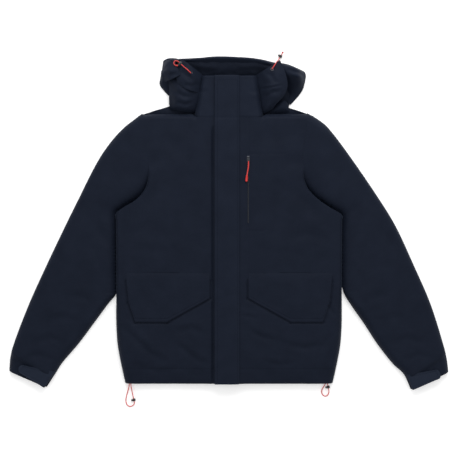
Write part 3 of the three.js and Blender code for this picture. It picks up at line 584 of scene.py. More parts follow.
for word, side in SIDES:
    near = box_mm(f"front_panel_{word}")[side < 0 and 1 or 0][0]
    inner = np.arange(abs(near), INNER_REACH, COLUMN_STEP)
    by_zip = CHEST_ZIP_X + np.array([-3.4, -1.6, 1.6, 3.4])
    inner = np.sort(np.append(inner[abs(inner - CHEST_ZIP_X) > 4.2], by_zip))
    outer = np.sin(np.linspace(0, math.pi / 2, 54))[1:]
    v = np.concatenate([np.linspace(0, 0.962, 232), np.linspace(0.962, 1, 20)[1:]])
    v_all = v[:, None]
    far = INNER_REACH + (out_to(word, HEM_Y + v_all * (SHOULDER_Y - HEM_Y)) - INNER_REACH) * outer[None, :]
    x = np.concatenate([np.repeat(inner[None, :], len(v), axis=0), far], axis=1) * side
    y = HEM_Y + v_all * (top_end(x) - HEM_Y)
    z = front_lie(x, y)
    from_edge = np.maximum(out_to(word, y) - abs(x), 0)
    drop = table_of(
        y, (-421, 17), (-340, DROP), (12, DROP), (34, 23), (62, 20), (112, 15), (146, 4), (172, 0), (284, 0)
    )
    turn = table_of(
        y, (-421, 22), (-230, 20), (-165, 11), (34, 10), (112, 10), (150, 10), (172, 8), (284, 8)
    )
    z = z - drop * rolled(from_edge, turn)
    z = z - 1.2 * np.clip((y - 140) / 30, 0, 1) * np.clip(1 - from_edge / 22, 0, 1) ** 1.4
    over = np.clip((abs(x) - 84) / 16, 0, 1)
    z = z - DROP * over * rolled(top_end(x) - y, 16)
    z = z - 6 * rolled(y - HEM_Y, 5)
    band = np.clip(1 - (y - HEM_Y) / 46, 0, 1) * np.clip((abs(x) - 90) / 120, 0.15, 1)
    z = z - 5 * groove(x, FLAP_EDGE_X, 4) * np.clip((262 - y) / 20, 0.2, 1)
    z = z + band * 1.5 * ripple(x, y * 0.25, 11, 2.2) - 0.5 * groove(y, HEM_Y + TUNNEL, 2.4)
    for a, b in zip(POCKET_EDGE, POCKET_EDGE[1:]):
        run = np.array(b) - a
        t = np.clip(((abs(x) - a[0]) * run[0] + (y - a[1]) * run[1]) / (run @ run), 0, 1)
        gap = np.hypot(abs(x) - a[0] - t * run[0], y - a[1] - t * run[1])
        z = z - 2.4 * np.exp(-((gap / 3.2) ** 2)) * (y > -262)
    z = np.maximum(z, 2.4)
    keep = np.ones((x.shape[0] - 1, x.shape[1] - 1), bool)
    middle_x = abs(x[:-1, :-1] + x[1:, 1:]) / 2
    middle_y = (y[:-1, :-1] + y[1:, 1:]) / 2
    across_mouth = (middle_x > MOUTH_X[0]) & (middle_x < MOUTH_X[1])
    keep &= ~(across_mouth & (middle_y > MOUTH_Y[0]) & (middle_y < MOUTH_Y[1]))
    if side > 0:
        slot = (abs(middle_x - CHEST_ZIP_X) < 1.6) & (middle_y > CHEST_LOW) & (middle_y < CHEST_HIGH)
        keep &= ~slot
        above, below = (y > CHEST_HIGH) & (y < 279), (y < CHEST_LOW) & (y > -132)
        seam = groove(x, CHEST_ZIP_X + 0.5, 1.7) * (above | below)
        lips = groove(abs(x - CHEST_ZIP_X), 7, 1.5) * ((y > CHEST_LOW - 8) & (y < CHEST_HIGH + 6))
        pocket_low = groove(y, POCKET_BAG_Y[0], 1.8) * ((x > 44) & (x < POCKET_BAG_X))
        pocket_high = groove(y, POCKET_BAG_Y[1], 1.8) * ((x > 52) & (x < 150))
        z = z - 1.3 * seam - 0.9 * lips - 0.8 * pocket_low - 0.7 * pocket_high
        z = z - 0.9 * groove(x, POCKET_BAG_X, 1.6) * ((y > POCKET_BAG_Y[0]) & (y < 6))
    front_grid[word] = np.dstack([x, y, z])
    front = cloth(f"body_front_{word}", front_grid[word], 1.2, shell, keep)
    placed(front, "jacket", "shell", f"front_panel_{word}")

    v, u = lattice((-396, 250, 60), (0, 1, 30))
    u = 20 + u * (np.minimum(262, out_to(word, v) - 18) - 20)
    hung = np.dstack([u * side, v, 18.6 + 0.4 * ripple(u, v, 60, 4)])
    inside = cloth(f"front_lining_cloth_{word}", hung, 0.6, lining)
    placed(inside, "jacket", "lining", f"front_lining_{word}")


# ---------------------------------------------------------------- collar
# A tall collar of doubled cloth continues each front up to the chin, and a lower layer closes it behind.
# Its sides roll under, and a narrow hanger loop is sewn inside at the back of the neck.
HALF_THREAD = 0.35


def stitched(name, line, body, pitch=3.6, lift=0.05):
    """A row of sewn stitches along points, each a short thread that dips into the cloth at both ends."""
    length = np.linalg.norm(np.diff(line, axis=0), axis=1).sum()
    count = max(2, int(length / pitch))
    points = even(line, 3 * count + 1)
    parts = []
    for k in range(count):
        a, b = points[3 * k], points[3 * k + 2]
        way = (b - a) / np.linalg.norm(b - a)
        aside = np.cross(way, (0, 0, 1))
        aside = aside / (np.linalg.norm(aside) + 1e-9) * HALF_THREAD
        up = np.array((0, 0, HALF_THREAD))
        centre = np.array([a, (a + b) / 2, b])
        centre[:, 2] += (lift - 0.45, lift + 0.15, lift - 0.45)
        rings = [[c + aside * s + up * t for s, t in ((1, 0), (0, 1), (-1, 0), (0, -1))] for c in centre]
        parts.append(ringed(rings))
    placed(solid(name, *merged(parts), thread), body, "shell")


def on_grid(grid, rows, cols, count=160):
    """Points on a sheet's face, between two places given as shares of its rows and columns."""
    r = np.linspace(*rows, count) * (grid.shape[0] - 1)
    c = np.linspace(*cols, count) * (grid.shape[1] - 1)
    i = np.minimum(r.astype(int), grid.shape[0] - 2)
    j = np.minimum(c.astype(int), grid.shape[1] - 2)
    s, t = (r - i)[:, None], (c - j)[:, None]
    low = grid[i, j] * (1 - t) + grid[i, j + 1] * t
    return low * (1 - s) + (grid[i + 1, j] * (1 - t) + grid[i + 1, j + 1] * t) * s


thread, shader, place = surface("sewing_thread", Specular_IOR_Level=0.03)
twist = place.ribs(0.0006, "DIAGONAL", 0.5)
twisted = twist.mixed((0.0030, 0.0045, 0.0090), (0.0060, 0.0085, 0.0160))
apply_to(shader, twisted, twist * -0.1 + 0.9, twist, 0.00005)

for word, side in SIDES:
    near = abs(box_mm(f"collar_front_{word}")[side < 0 and 1 or 0][0])
    v, u = lattice((0, 1, 60), (0, math.pi / 2, 40))
    y = NECK_Y + 0.5 + v * (COLLAR_TOP - NECK_Y - 0.8)
    reach = table_of(y, (279, 91), (292, 90), (389, 75.5))
    x = (near + np.sin(u) * (reach - near)) * side
    z = front_lie(x, y) - 24 * rolled(reach - abs(x), 17) - 8 * rolled(COLLAR_TOP - y, 5)
    z = z - groove(y, NECK_Y + 1, 2.4) + 0.5 * ripple(x, y, 22, 7.7)
    z = z + fold(x, y, [(side * 84, 352), (side * 66, 346), (side * 52, 350)], 6, 1.2)
    grid = np.dstack([x, y, z])
    # The collar's lighter cloth is painted highlight.
    piece = cloth(f"collar_cloth_{word}", grid, 2.0, raised_shell_painted_highlight)
    placed(piece, "jacket", "shell", f"collar_front_{word}")
    stitched(f"collar_stitches_{word}", on_grid(grid, (0.93, 0.93), (0.35, 0.72)), "jacket")

v, u = lattice((310, 387, 30), (-1, 1, 50))
reach = table_of(v, (310, 89), (387, 74))
grid = np.dstack([u * reach, v, 2.3 + 0.3 * ripple(u * 90, v, 30, 6)])
# The lower collar layer is in the lighter copy too: painted highlight.
behind = cloth("collar_back_cloth", grid, 1.8, raised_shell_painted_highlight)
placed(behind, "jacket", "shell", "collar_back")

webbing, shader, place = surface("webbing", Sheen_Weight=0.3)
twill = place.ribs(0.0012, "DIAGONAL", 0.3)
apply_to(shader, twill.mixed((0.010, 0.012, 0.018), (0.022, 0.026, 0.036)), twill * 0.1 + 0.7, twill, 0.0002)


# ---------------------------------------------------------------- front zip and storm flap
# A coarse moulded zip on woven tapes joins the fronts, from a retainer box at the hem to the chin. A
# doubled strip of shell cloth, sewn on one side only, lies over it and closes with hook and loop.
def on_node(node, material):
    """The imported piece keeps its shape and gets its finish."""
    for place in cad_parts[node].material_slots:
        place.material = material


zip_plastic = grained(
    "zip_plastic", (0.014, 0.016, 0.022), (0.030, 0.033, 0.042), 0.28, 700, Specular_IOR_Level=0.5
)
zip_bright = grained("zip_bright", (0.11, 0.12, 0.14), (0.20, 0.21, 0.24), 0.3, Metallic=0.3)
# A grey for the chest zip's coil, lighter than the cloth around it: painted highlight of the zip's shiny
# lips.
zip_coil_painted_highlight = grained("zip_coil_painted_highlight", (0.018, 0.021, 0.028), (0.040, 0.045, 0.055), 0.3, Metallic=0.2)
hook_pile, shader, place = surface("hook_and_loop", Specular_IOR_Level=0.05)
pile = place.noise(2600, 2)
apply_to(shader, pile.mixed((0.005, 0.006, 0.010), (0.022, 0.025, 0.034)), pile * 0.1 + 0.8, pile, 0.0008)


def zip_teeth(name, x, low, high, z, pitch, wide, deep, material):
    """Teeth of a closed zip, set turn and turn about from the two sides, with a bead at each tip."""
    parts = []
    half = pitch * 0.42
    corners = [(-half, -deep), (half, -deep), (half, deep * 0.7)]
    corners += [(half * 0.6, deep), (-half * 0.6, deep), (-half, deep * 0.7)]
    steps = ((-wide, 0.7), (-wide * 0.9, 1.0), (-0.1, 0.9), (wide * 0.28, 1.0), (wide * 0.36, 0.6))
    for k in range(int((high - low) / pitch)):
        hand = 1 if k % 2 else -1
        y = low + (k + 0.5) * pitch
        parts.append(ringed([
            [(x + hand * reach, y + share * a, z + share * b) for a, b in corners] for reach, share in steps
        ]))
    return solid(name, *merged(parts), material, 35)


def strip(name, node, body, slot, cells, thick, material, waves=None, on_front=0):
    """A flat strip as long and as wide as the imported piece, either at its top, with waves given as
    (lift, height, size, seed), or this far over the fronts' cloth."""
    low, high = box_mm(node)
    v, u = lattice((low[1], high[1], cells[0]), (low[0], high[0], cells[1]))
    if waves:
        lift, height, size, seed = waves
        z = high[2] + lift + height * ripple(u, v, size, seed)
    else:
        z = front_lie(u, v) + on_front
    made = cloth(name, np.dstack([u, v, z]), thick, material)
    placed(made, body, slot, node)


for word, side in SIDES:
    waves = (0, 0.12, 9, 2)
    strip(f"front_zip_tape_{word}", f"zip_tape_{word}", "jacket", "tape", (200, 8), 0.9, webbing, waves)

low, high = box_mm("zip_chain")
zip_x, _, zip_z = (low + high) / 2
chain = zip_teeth(
    "front_zip_teeth", zip_x, low[1], high[1], zip_z, pitch=2.6, wide=2.8, deep=1.6, material=zip_plastic
)
placed(chain, "jacket", "zip_plastic", "zip_chain")
for node in ("zip_retainer_box", "main_slider", "main_pull", "chest_slider", "chest_zip_stop"):
    on_node(node, zip_bright if node == "chest_zip_stop" else zip_plastic)

strip("zip_guard", "inner_flap", "jacket", "lining", (160, 16), 0.8, lining, (-0.1, 0.2, 30, 3))

low, high = box_mm("storm_flap")
FLAP_FREE, FLAP_SEWN, FLAP_LIFT = low[0], high[0], 5.6
v, u = lattice((low[1] + 0.5, high[1], 330), (0, 1, 34))
x = FLAP_FREE + u * (FLAP_SEWN - FLAP_FREE)
from_free, from_sewn = x - FLAP_FREE, FLAP_SEWN - x
lift = (1.6 + 1.0 * ripple(0 * v, v, 85, 3.3)) * np.exp(-from_free / 9) - 1.4 * rolled(from_free, 2.5)
z = front_lie(x, v) + FLAP_LIFT + lift - 3.8 * np.exp(-from_sewn / 5) + 0.35 * ripple(x, v, 26, 4.4)
for where, depth in ((7, 0.7), (FLAP_SEWN - FLAP_FREE - 5, 0.6)):
    z = z - depth * groove(from_free, where, 1.4)
z = z - 0.7 * groove(v, NECK_Y, 3) - 1.5 * rolled(high[1] - v, 3) - 1.2 * rolled(v - low[1], 3)
flap_grid = np.dstack([x, v, z])
# The storm flap's lighter cloth is painted highlight.
flap = cloth("storm_flap_cloth", flap_grid, 2.0, raised_shell_painted_highlight)
placed(flap, "flap", "shell", "storm_flap")
stitched("flap_edge_stitches", on_grid(flap_grid, (0.005, 0.985), (0.11, 0.11), 500), "flap")
stitched("flap_seam_stitches", on_grid(flap_grid, (0.005, 0.985), (0.925, 0.925), 500), "flap")
stitched("flap_top_stitches", on_grid(flap_grid, (0.985, 0.985), (0.11, 0.925)), "flap")

for kind, body, height in (("loop", "jacket", 1.5), ("hook", "flap", 3.4)):
    node = f"flap_{kind}_strip"
    strip(f"{node}_pile", node, body, "hook_and_loop", (240, 8), 0.9, hook_pile, on_front=height)


# ---------------------------------------------------------------- chest pocket
# A fine zip stands upright in the wearer's left front, over a thin bag, with a light top stop. Its slider
# carries a doubled red cord that ends in a moulded red grip.
def bag(name, node, swell):
    """A flat pocket bag: two thin layers sewn together round their edges, a little swollen."""
    low, high = box_mm(node)
    v, u = lattice((-1, 1, 40), (-1, 1, 40))
    half = (high - low) / 2
    puff = (1 - abs(u) ** 6) ** 0.5 * (1 - abs(v) ** 6) ** 0.5
    middle = (low + high) / 2
    x, y = middle[0] + u * half[0], middle[1] + v * half[1]
    over = np.dstack([x, y, middle[2] + puff * (half[2] - 0.3) + swell * ripple(x, y, 40, 5) * puff])
    below = np.dstack([x, y, middle[2] - puff * (half[2] - 0.9)])
    made = cloth(name, np.concatenate([over, below[::-1][1:]]), 0.5, lining, closed=True)
    placed(made, "jacket", "lining", node)


bag("chest_bag", "chest_pocket_bag", 0.2)
strip("chest_tape", "chest_zip_tape", "jacket", "tape", (70, 12), 0.7, webbing, (0, 0.1, 8, 5))
low, high = box_mm("chest_zip_chain")
# The coil's grey is painted highlight.
coil = zip_teeth(
    "chest_zip_coil", CHEST_ZIP_X, low[1], high[1], high[2] - 0.2, pitch=1.5, wide=1.5, deep=0.8,
    material=zip_coil_painted_highlight,
)
placed(coil, "jacket", "zip_plastic", "chest_zip_chain")

cord_low, cord_high = box_mm("chest_pull_cord")
grip_low, grip_high = box_mm("chest_pull_grip")
pull_z = (cord_low[2] + cord_high[2]) / 2
pull_line = [
    (CHEST_ZIP_X + 0.7, cord_high[1] - 0.6, pull_z), (CHEST_ZIP_X + 0.5, cord_high[1] - 9, pull_z),
    (CHEST_ZIP_X - 0.4, cord_high[1] - 20, pull_z + 0.2), (CHEST_ZIP_X - 2.2, cord_high[1] - 30, pull_z),
    (CHEST_ZIP_X - 3.6, grip_high[1] - 2, pull_z),
]
PULL_CORD = 3.2
pull_cord, line, length = round_cord("chest_pull_braid", pull_line, PULL_CORD, red_braid)
placed(pull_cord, "chest_pull", "red_cord", "chest_pull_cord")

pull_rubber, shader, place = surface("pull_rubber", Specular_IOR_Level=0.4)
ridges = place.ribs(0.003, "Y", 0.0)
ridged = ridges.mixed((0.40, 0.010, 0.010), (0.72, 0.035, 0.028))
apply_to(shader, ridged, ridges * 0.1 + 0.42, ridges, 0.0006)
grip_top = Vector((grip_high[0] - 1.6, grip_high[1] + 1, pull_z))
grip_foot = Vector((grip_low[0] + 2.6, grip_low[1], pull_z))
run = (grip_foot - grip_top).length
waist = [(0, 0.6), (0.4, 1.9), (2.5, 2.4), (run * 0.5, 2.8), (run - 3, 3.1), (run - 0.8, 2.5), (run, 0.6)]
grip = solid("chest_pull_handle", *ringed(turned(waist, grip_top, grip_foot - grip_top, 0.62)), pull_rubber)
placed(grip, "chest_pull", "pull_grip", "chest_pull_grip")
line[0] * MM


# ---------------------------------------------------------------- hand pockets
# Each hand pocket is a flat bag behind a slit, under a five-sided flap of doubled cloth, which is sewn
# along its top edge and stitched round the other four.
FLAP_NEAR_X, FLAP_WIDE, POCKET_LIFT = 51, 220, 3.0
for word, side in SIDES:
    body = f"pocket_flap_{word}"
    bag(f"hand_bag_{word}", f"hand_pocket_bag_{word}", 0.3)
    top_y = box_mm(f"pocket_flap_{word}")[1][1]
    low_line = even([(FLAP_NEAR_X, -195), (163, -257), (246, -257), (263, -207)], 90)
    v, u = lattice((0, 1, 52), (0, 1, 90))
    x = side * ((FLAP_NEAR_X + FLAP_WIDE * u) * (1 - v) + low_line[None, :, 0] * v)
    y = top_y * (1 - v) + low_line[None, :, 1] * v
    deep = top_y - low_line[None, :, 1]
    to_edge = np.minimum(np.minimum((1 - v) * deep * 0.86, u * FLAP_WIDE), (1 - u) * 170)
    lift = (1.0 + 1.0 * ripple(x, y, 46, 6.1)) * np.exp(-to_edge / 12) * np.clip(v * 4, 0, 1)
    lift = lift - 1.3 * rolled(to_edge, 2.5)
    z = front_lie(x, y) + POCKET_LIFT + lift - 3.6 * np.exp(-v * deep / 12) + 0.5 * ripple(x, y, 33, 2.9)
    z = z - 0.6 * groove(to_edge, 6, 1.4) * (v > 0.08)
    grid = np.dstack([x, y, z])
    flap = cloth(f"pocket_flap_cloth_{word}", grid, 1.8, shell)
    placed(flap, body, "shell", body)
    stitched(f"pocket_hem_stitches_{word}", on_grid(grid, (0.925, 0.925), (0.03, 0.97), 300), body)


# ---------------------------------------------------------------- hem
# The hem is turned into a narrow tunnel for the flat elastic, whose ends are drawn out as the red cords.
# Rows of stitching hold the tunnel, and the cloth above it is slightly gathered.
low, high = box_mm("hem_tunnel")
_, tunnel_y, tunnel_z = (low + high) / 2
ring = np.array([(math.cos(a), math.sin(a)) for a in np.linspace(0, 2 * math.pi, 20, endpoint=False)])
rings = []
for x in np.linspace(low[0], high[0], 150):
    pucker = 1 + 0.05 * noise.noise(Vector((x / 9, 0, 4)))
    y = tunnel_y + np.sign(ring[:, 0]) * abs(ring[:, 0]) ** 0.7 * 7.6
    rings.append(np.column_stack([np.full(20, x), y, tunnel_z + ring[:, 1] * 3.4 * pucker]))
tunnel = solid("hem_tunnel_cloth", *ringed(rings), lining)
placed(tunnel, "jacket", "lining", "hem_tunnel", "hem_elastic")
hem_share = TUNNEL / (SHOULDER_Y - HEM_Y)
for word, side in SIDES:
    upper = on_grid(front_grid[word], (hem_share, hem_share), (0.02, 0.93), 300)
    lower = on_grid(front_grid[word], (0.012, 0.012), (0.02, 0.9), 300)
    stitched(f"hem_stitches_{word}", upper, "jacket")
    stitched(f"hem_lower_stitches_{word}", lower, "jacket")


# ---------------------------------------------------------------- sleeves and cuffs
# Each sleeve is one tube of shell cloth, sewn in under the body's edge at the armhole and gathered a little
# at the cuff, where a tapered tab with hook and loop closes it.
OUTER = {
    "right": [
        (238, 290), (257, 276), (281, 257), (306, 231), (341, 181), (393, 76), (432, -3), (482, -108),
        (529, -212), (569, -317), (578, -352), (581, -388),
    ],
    "left": [
        (209, 288), (231, 276), (256, 258), (279, 232), (317, 181), (389, 76), (438, -3), (487, -108),
        (532, -212), (565, -317), (575, -358), (579, -391),
    ],
}
INNER = {
    "right": [
        (297, 26), (293, 0), (292, -40), (292, -90), (292, -140), (297, -182), (320, -212), (359, -265),
        (398, -317), (443, -370), (456, -391), (482, -431),
    ],
    "left": [
        (297, 22), (293, 0), (292, -40), (292, -90), (294, -140), (304, -182), (322, -212), (359, -265),
        (393, -317), (435, -370), (463, -397), (481, -437),
    ],
}
SLEEVE_FOLDS = [
    ([(330, 20), (352, 60), (352, 110)], 16, 2.0),
    ([(316, -60), (338, -20), (352, 30)], 14, 2.6),
    ([(322, -140), (345, -100), (356, -50)], 13, 2.2),
    ([(345, -215), (385, -190), (430, -190)], 12, 2.0),
    ([(390, -260), (430, -244), (478, -250)], 11, 1.9),
    ([(425, -318), (468, -300), (520, -312)], 10, 2.0),
    ([(455, -360), (500, -344), (540, -352)], 9, 1.9),
    ([(400, 20), (415, -30), (436, -70)], 14, 1.6),
    ([(470, -110), (480, -160), (500, -200)], 13, 1.6),
]
TAB_CORNERS = {
    "right": [[(457, -389), (486, -431)], [(545, -371), (552, -390)]],
    "left": [[(467, -397), (483, -437)], [(547, -383), (555, -406)]],
}
LEAST = 2.2
EASE_SHARE = 0.34
SLEEVE_HIGH, CUFF_LOWER = 27.6, 7.2
SLEEVE_ROWS, SLEEVE_COLUMNS = 180, 64
TAB_HIGH, TAB_LENGTH = 21.4, 90
# The cuff tabs are the shell cloth in a much lighter copy: painted highlight on the tabs.
tab_painted_highlight_cloth = shell_cloth("cuff_tab_painted_highlight_cloth", (0.0090, 0.0130, 0.0240), (0.0190, 0.0250, 0.0420), 0.0004)
for word, side in SIDES:
    line = edge_line[word]
    hole = line[line[:, 1] > 22][::-1] - np.array((7, 0))
    outer = smooth_line(OUTER[word], SLEEVE_ROWS)
    inner = smooth_line(INNER[word], SLEEVE_ROWS)
    width_share = np.linspace(0, 1, SLEEVE_COLUMNS)
    k = (width_share - 0.06 * np.sin(2 * math.pi * width_share))[None, :, None]
    straight = inner[:, None] * (1 - k) + outer[:, None] * k
    start = even(hole, 200)
    start = np.column_stack([np.interp(k[0, :, 0], np.linspace(0, 1, 200), start[:, c]) for c in (0, 1)])
    s = np.linspace(0, 1, SLEEVE_ROWS)[:, None, None]
    ease = np.clip(1 - s / EASE_SHARE, 0, 1) ** 2 * (1 + 2 * np.clip(s / EASE_SHARE, 0, 1))
    plan = straight + ease * (start[None] - straight[:1])
    x, y = plan[..., 0], plan[..., 1]
    width = np.linalg.norm(straight[:, -1] - straight[:, 0], axis=1)[:, None]
    k, s = k[..., 0], s[..., 0]
    from_hole = np.linalg.norm(plan - plan[:1], axis=2)
    body_edge = line[::2]
    gaps = np.hypot(x[..., None] - body_edge[:, 0], y[..., None] - body_edge[:, 1])
    from_body = gaps.min(axis=2) * (x > np.interp(y, body_edge[::-1, 1], body_edge[::-1, 0]))
    beside = body_edge[gaps.argmin(axis=2), 1]
    crease = table_of(beside, (-215, 0), (-180, 22), (62, 23), (112, 19), (140, 10), (170, 0))
    reach = table_of(beside, (-180, 14), (20, 13), (50, 10), (110, 16), (160, 24))
    z = SLEEVE_HIGH - CUFF_LOWER * s - crease * np.exp(-((from_body / reach) ** 0.95))
    z = z + 1.7 * ripple(x * side, y, 95, 3.7 + side) + 0.7 * ripple(x, y, 38, 6.3)
    z = z + 0.3 * ripple(x, y, 15, 1.1)
    for path, wide, depth in SLEEVE_FOLDS:
        z = z + fold(x, y, path, wide, depth) * np.clip(from_hole / 30, 0, 1)
    joins = np.clip(1.15 - from_hole / 70, 0, 1) ** 2
    joins = joins * table_of(start[:, 1], (112, 0), (170, 1), (290, 1))[None, :]
    z = z * (1 - joins) + (front_lie(x * side, y) - 1.2) * joins
    z = LEAST + (z - LEAST) * (1 - rolled((1 - k) * width, 19))
    z = LEAST + (z - LEAST) * (1 - rolled(k * width, 20) * np.clip((-170 - y) / 30, 0, 1))
    gather = np.clip((s - 0.945) / 0.03, 0, 1)
    z = z + gather * (1.3 * ripple(k * width, 0 * s + y * 0.1, 7.5, 2.6) - 1.0)
    z = z + 2.0 * groove(s, 0.925, 0.02) - 4.5 * np.clip((s - 0.935) / 0.012, 0, 1)
    under = np.dstack([x, y, 1.8 + 0.2 * ripple(x, y, 60, 3) + 0 * s])[:, ::-1]
    grid = np.concatenate([np.dstack([x, y, np.maximum(z, LEAST)]), under[:, 1:]], axis=1)
    grid[..., 0] *= side
    sleeve = cloth(f"sleeve_tube_{word}", grid, 1.1, shell, closed=True)
    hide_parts(f"sleeve_front_{word}", f"sleeve_back_{word}")
    side * 0.285
    side * 0.325
    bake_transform(sleeve)

    body = f"cuff_tab_{word}"
    v, u = lattice((0, 1, 40), (0, 1, 22))
    round_end = 5 * np.sin(math.pi * u) ** 0.8 * np.clip((v - 0.8) / 0.2, 0, 1) ** 2
    sewn_end, free_end = (
        a * (1 - u[..., None]) + b * u[..., None] for a, b in np.array(TAB_CORNERS[word], float)
    )
    spot = sewn_end * (1 - v[..., None]) + free_end * v[..., None]
    x, y = spot[..., 0] + round_end, spot[..., 1] + round_end * 0.3
    z = TAB_HIGH - 1.2 * v + 0.5 * ripple(x, y, 20, 4) - 5 * rolled(v * TAB_LENGTH, 9)
    z = z - 1.2 * rolled((1 - v) * TAB_LENGTH, 4)
    to_side = np.minimum(u, 1 - u)
    z = z + 0.9 * np.exp(-to_side * 8) - 0.5 * groove(to_side, 0.16, 0.05)
    grid = np.dstack([x * side, y, z])
    # The tab's lighter colour is painted highlight.
    tab = cloth(f"cuff_tab_painted_highlight_cloth_{word}", grid, 1.7, tab_painted_highlight_cloth)
    sewn, bent = (grid[row].mean(axis=0) * MM for row in (1, 8))
    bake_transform(tab)
    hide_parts(f"cuff_tab_{word}")
    stitched(f"tab_upper_stitches_{word}", on_grid(grid, (0.24, 0.93), (0.16, 0.16)), body)
    stitched(f"tab_lower_stitches_{word}", on_grid(grid, (0.24, 0.93), (0.84, 0.84)), body)
    stitched(f"tab_end_stitches_{word}", on_grid(grid, (0.93, 0.93), (0.16, 0.84)), body)
    for kind, on, below in (("hook", body, 1.9), ("loop", f"sleeve_{word}", 3.0)):
        under_tab = grid[22:36, 6:17] - np.array((0, 0, below))
        patch_pile = cloth(f"cuff_{kind}_pile_{word}", under_tab, 0.8, hook_pile)
        placed(patch_pile, on, "hook_and_loop", f"cuff_{kind}_patch_{word}")
        wide = np.linalg.norm(under_tab[0, -1] - under_tab[0, 0]) * MM
        tall = np.linalg.norm(under_tab[-1, 0] - under_tab[0, 0]) * MM


# ---------------------------------------------------------------- hood
# The hood is folded open behind the collar: a lined band shows past the collar's edge, and the two side
# panels lie in loose puffs on the shoulders. The brim's ends carry eyelets for the drawcord.
def patch(rows, tall, wide):
    """A smooth sheet through a coarse net of points."""
    return np.swapaxes(through(np.swapaxes(through(rows, tall), 0, 1), wide), 0, 1)


HOOD = {
    "hood_under_layer": (shell, 0, [
        [(-140, 294, 4), (-70, 300, 4), (0, 304, 4), (80, 300, 4), (150, 294, 4)],
        [(-148, 340, 4), (-70, 340, 4), (0, 340, 4), (86, 340, 4), (172, 340, 4)],
        [(-172, 380, 4), (-90, 384, 4), (0, 384, 4), (96, 382, 4), (190, 378, 4)],
        [(-166, 424, 4), (-84, 428, 4), (0, 428, 4), (84, 424, 4), (172, 406, 4)],
    ]),
    "hood_inner_band": (lining, 0, [
        [(-128, 386, 6), (-80, 388, 5), (-30, 388, 5), (30, 388, 5), (80, 388, 5), (112, 388, 8)],
        [(-130, 396, 18), (-80, 397, 11), (-30, 397, 10), (30, 397, 10), (78, 397, 11), (110, 397, 20)],
        [(-131, 410, 29), (-80, 411, 20), (-30, 411, 19), (30, 411, 19), (76, 410, 21), (108, 407, 29)],
        [(-132, 422, 33), (-80, 425, 26), (-30, 426, 25), (30, 426, 25), (76, 423, 27), (107, 417, 31)],
    ]),
    "hood_back_roll": (shell, 0, [
        [(-150, 412, 16), (-80, 415, 15), (-30, 417, 14), (30, 417, 14), (76, 414, 15), (118, 402, 18)],
        [(-152, 424, 32), (-80, 428, 33), (-30, 431, 33), (30, 430, 33), (76, 426, 33), (124, 413, 34)],
        [(-153, 430, 31), (-80, 433, 33), (-30, 437, 33), (30, 435, 33), (76, 431, 32), (127, 419, 28)],
        [(-154, 433, 20), (-80, 436, 24), (-30, 440, 24), (30, 438, 24), (76, 434, 22), (128, 423, 16)],
        [(-154, 434, 6), (-80, 437, 8), (-30, 441, 8), (30, 439, 8), (76, 435, 8), (128, 425, 4)],
    ]),
    "hood_side_puff_left": (shell, 1, [
        [(124, 424, 26), (152, 420, 22), (176, 412, 16), (200, 402, 5)],
        [(132, 412, 34), (156, 410, 42), (180, 402, 42), (203, 391, 9)],
        [(140, 390, 34), (163, 388, 49), (184, 380, 45), (200, 372, 9)],
        [(149, 366, 14), (168, 366, 24), (182, 361, 22), (195, 355, 6)],
        [(158, 345, 4), (165, 344, 9), (174, 341, 8), (183, 337, 3)],
        [(150, 324, 3), (154, 321, 5), (159, 318, 5), (163, 315, 3)],
    ]),
    "hood_tuck_left": (shell, 1, [
        [(132, 322, 16), (146, 323, 24), (158, 315, 10)],
        [(116, 303, 12), (137, 305, 20), (158, 303, 10)],
        [(96, 290, 4), (128, 291, 7), (160, 292, 4)],
    ]),
    "hood_brim_left": (shell, 1, [
        [(68, 390, 14), (92, 402, 38), (114, 416, 44), (133, 428, 40)],
        [(74, 372, 16), (100, 380, 46), (124, 388, 49), (147, 394, 44)],
        [(78, 350, 16), (105, 353, 46), (131, 357, 49), (153, 360, 43)],
        [(82, 322, 16), (105, 326, 42), (125, 331, 45), (143, 334, 38)],
        [(85, 300, 14), (99, 303, 32), (112, 308, 34), (124, 314, 27)],
        [(86, 289, 7), (96, 292, 16), (106, 297, 18), (116, 303, 13)],
    ]),
    "hood_side_puff_right": (shell, -1, [
        [(136, 436, 12), (150, 436, 20), (163, 435, 16), (174, 431, 5)],
        [(140, 420, 34), (154, 420, 36), (166, 418, 28), (176, 414, 7)],
        [(146, 396, 36), (160, 394, 38), (172, 390, 30), (181, 386, 7)],
        [(146, 372, 18), (160, 370, 20), (174, 368, 15), (183, 368, 5)],
        [(148, 350, 10), (157, 350, 10), (166, 351, 8), (173, 353, 4)],
        [(150, 336, 5), (154, 337, 5), (159, 339, 5), (161, 340, 4)],
    ]),
    "hood_side_panel_right": (shell, -1, [
        [(74, 352, 20), (102, 364, 38), (130, 378, 39), (159, 386, 26)],
        [(78, 330, 18), (105, 334, 41), (133, 340, 42), (158, 344, 20)],
        [(82, 314, 16), (108, 317, 38), (135, 321, 38), (158, 323, 18)],
        [(86, 300, 12), (110, 302, 30), (136, 305, 30), (157, 308, 14)],
        [(88, 291, 5), (112, 294, 15), (136, 298, 15), (156, 301, 5)],
    ]),
    "hood_upper_band_right": (shell, -1, [
        [(68, 392, 14), (90, 406, 38), (109, 420, 43), (124, 431, 40)],
        [(69, 379, 16), (92, 388, 45), (113, 399, 47), (133, 412, 45)],
        [(72, 361, 16), (95, 366, 45), (116, 375, 48), (138, 389, 45)],
        [(75, 345, 16), (96, 347, 43), (114, 353, 46), (135, 367, 40)],
    ]),
    "hood_brim_right": (shell, -1, [
        [(178, 402, 20), (162, 416, 40), (144, 426, 43)],
        [(178, 389, 26), (156, 398, 50), (134, 407, 48)],
        [(167, 373, 26), (149, 377, 48), (127, 388, 50)],
    ]),
}
HOOD_NODES = {
    "hood_back_roll": ["hood_back"], "hood_brim_left": ["hood_side_left"],
    "hood_side_panel_right": ["hood_side_right"],
}
NET_STEP = 1.8
COLLAR_GAP = (84, 350)
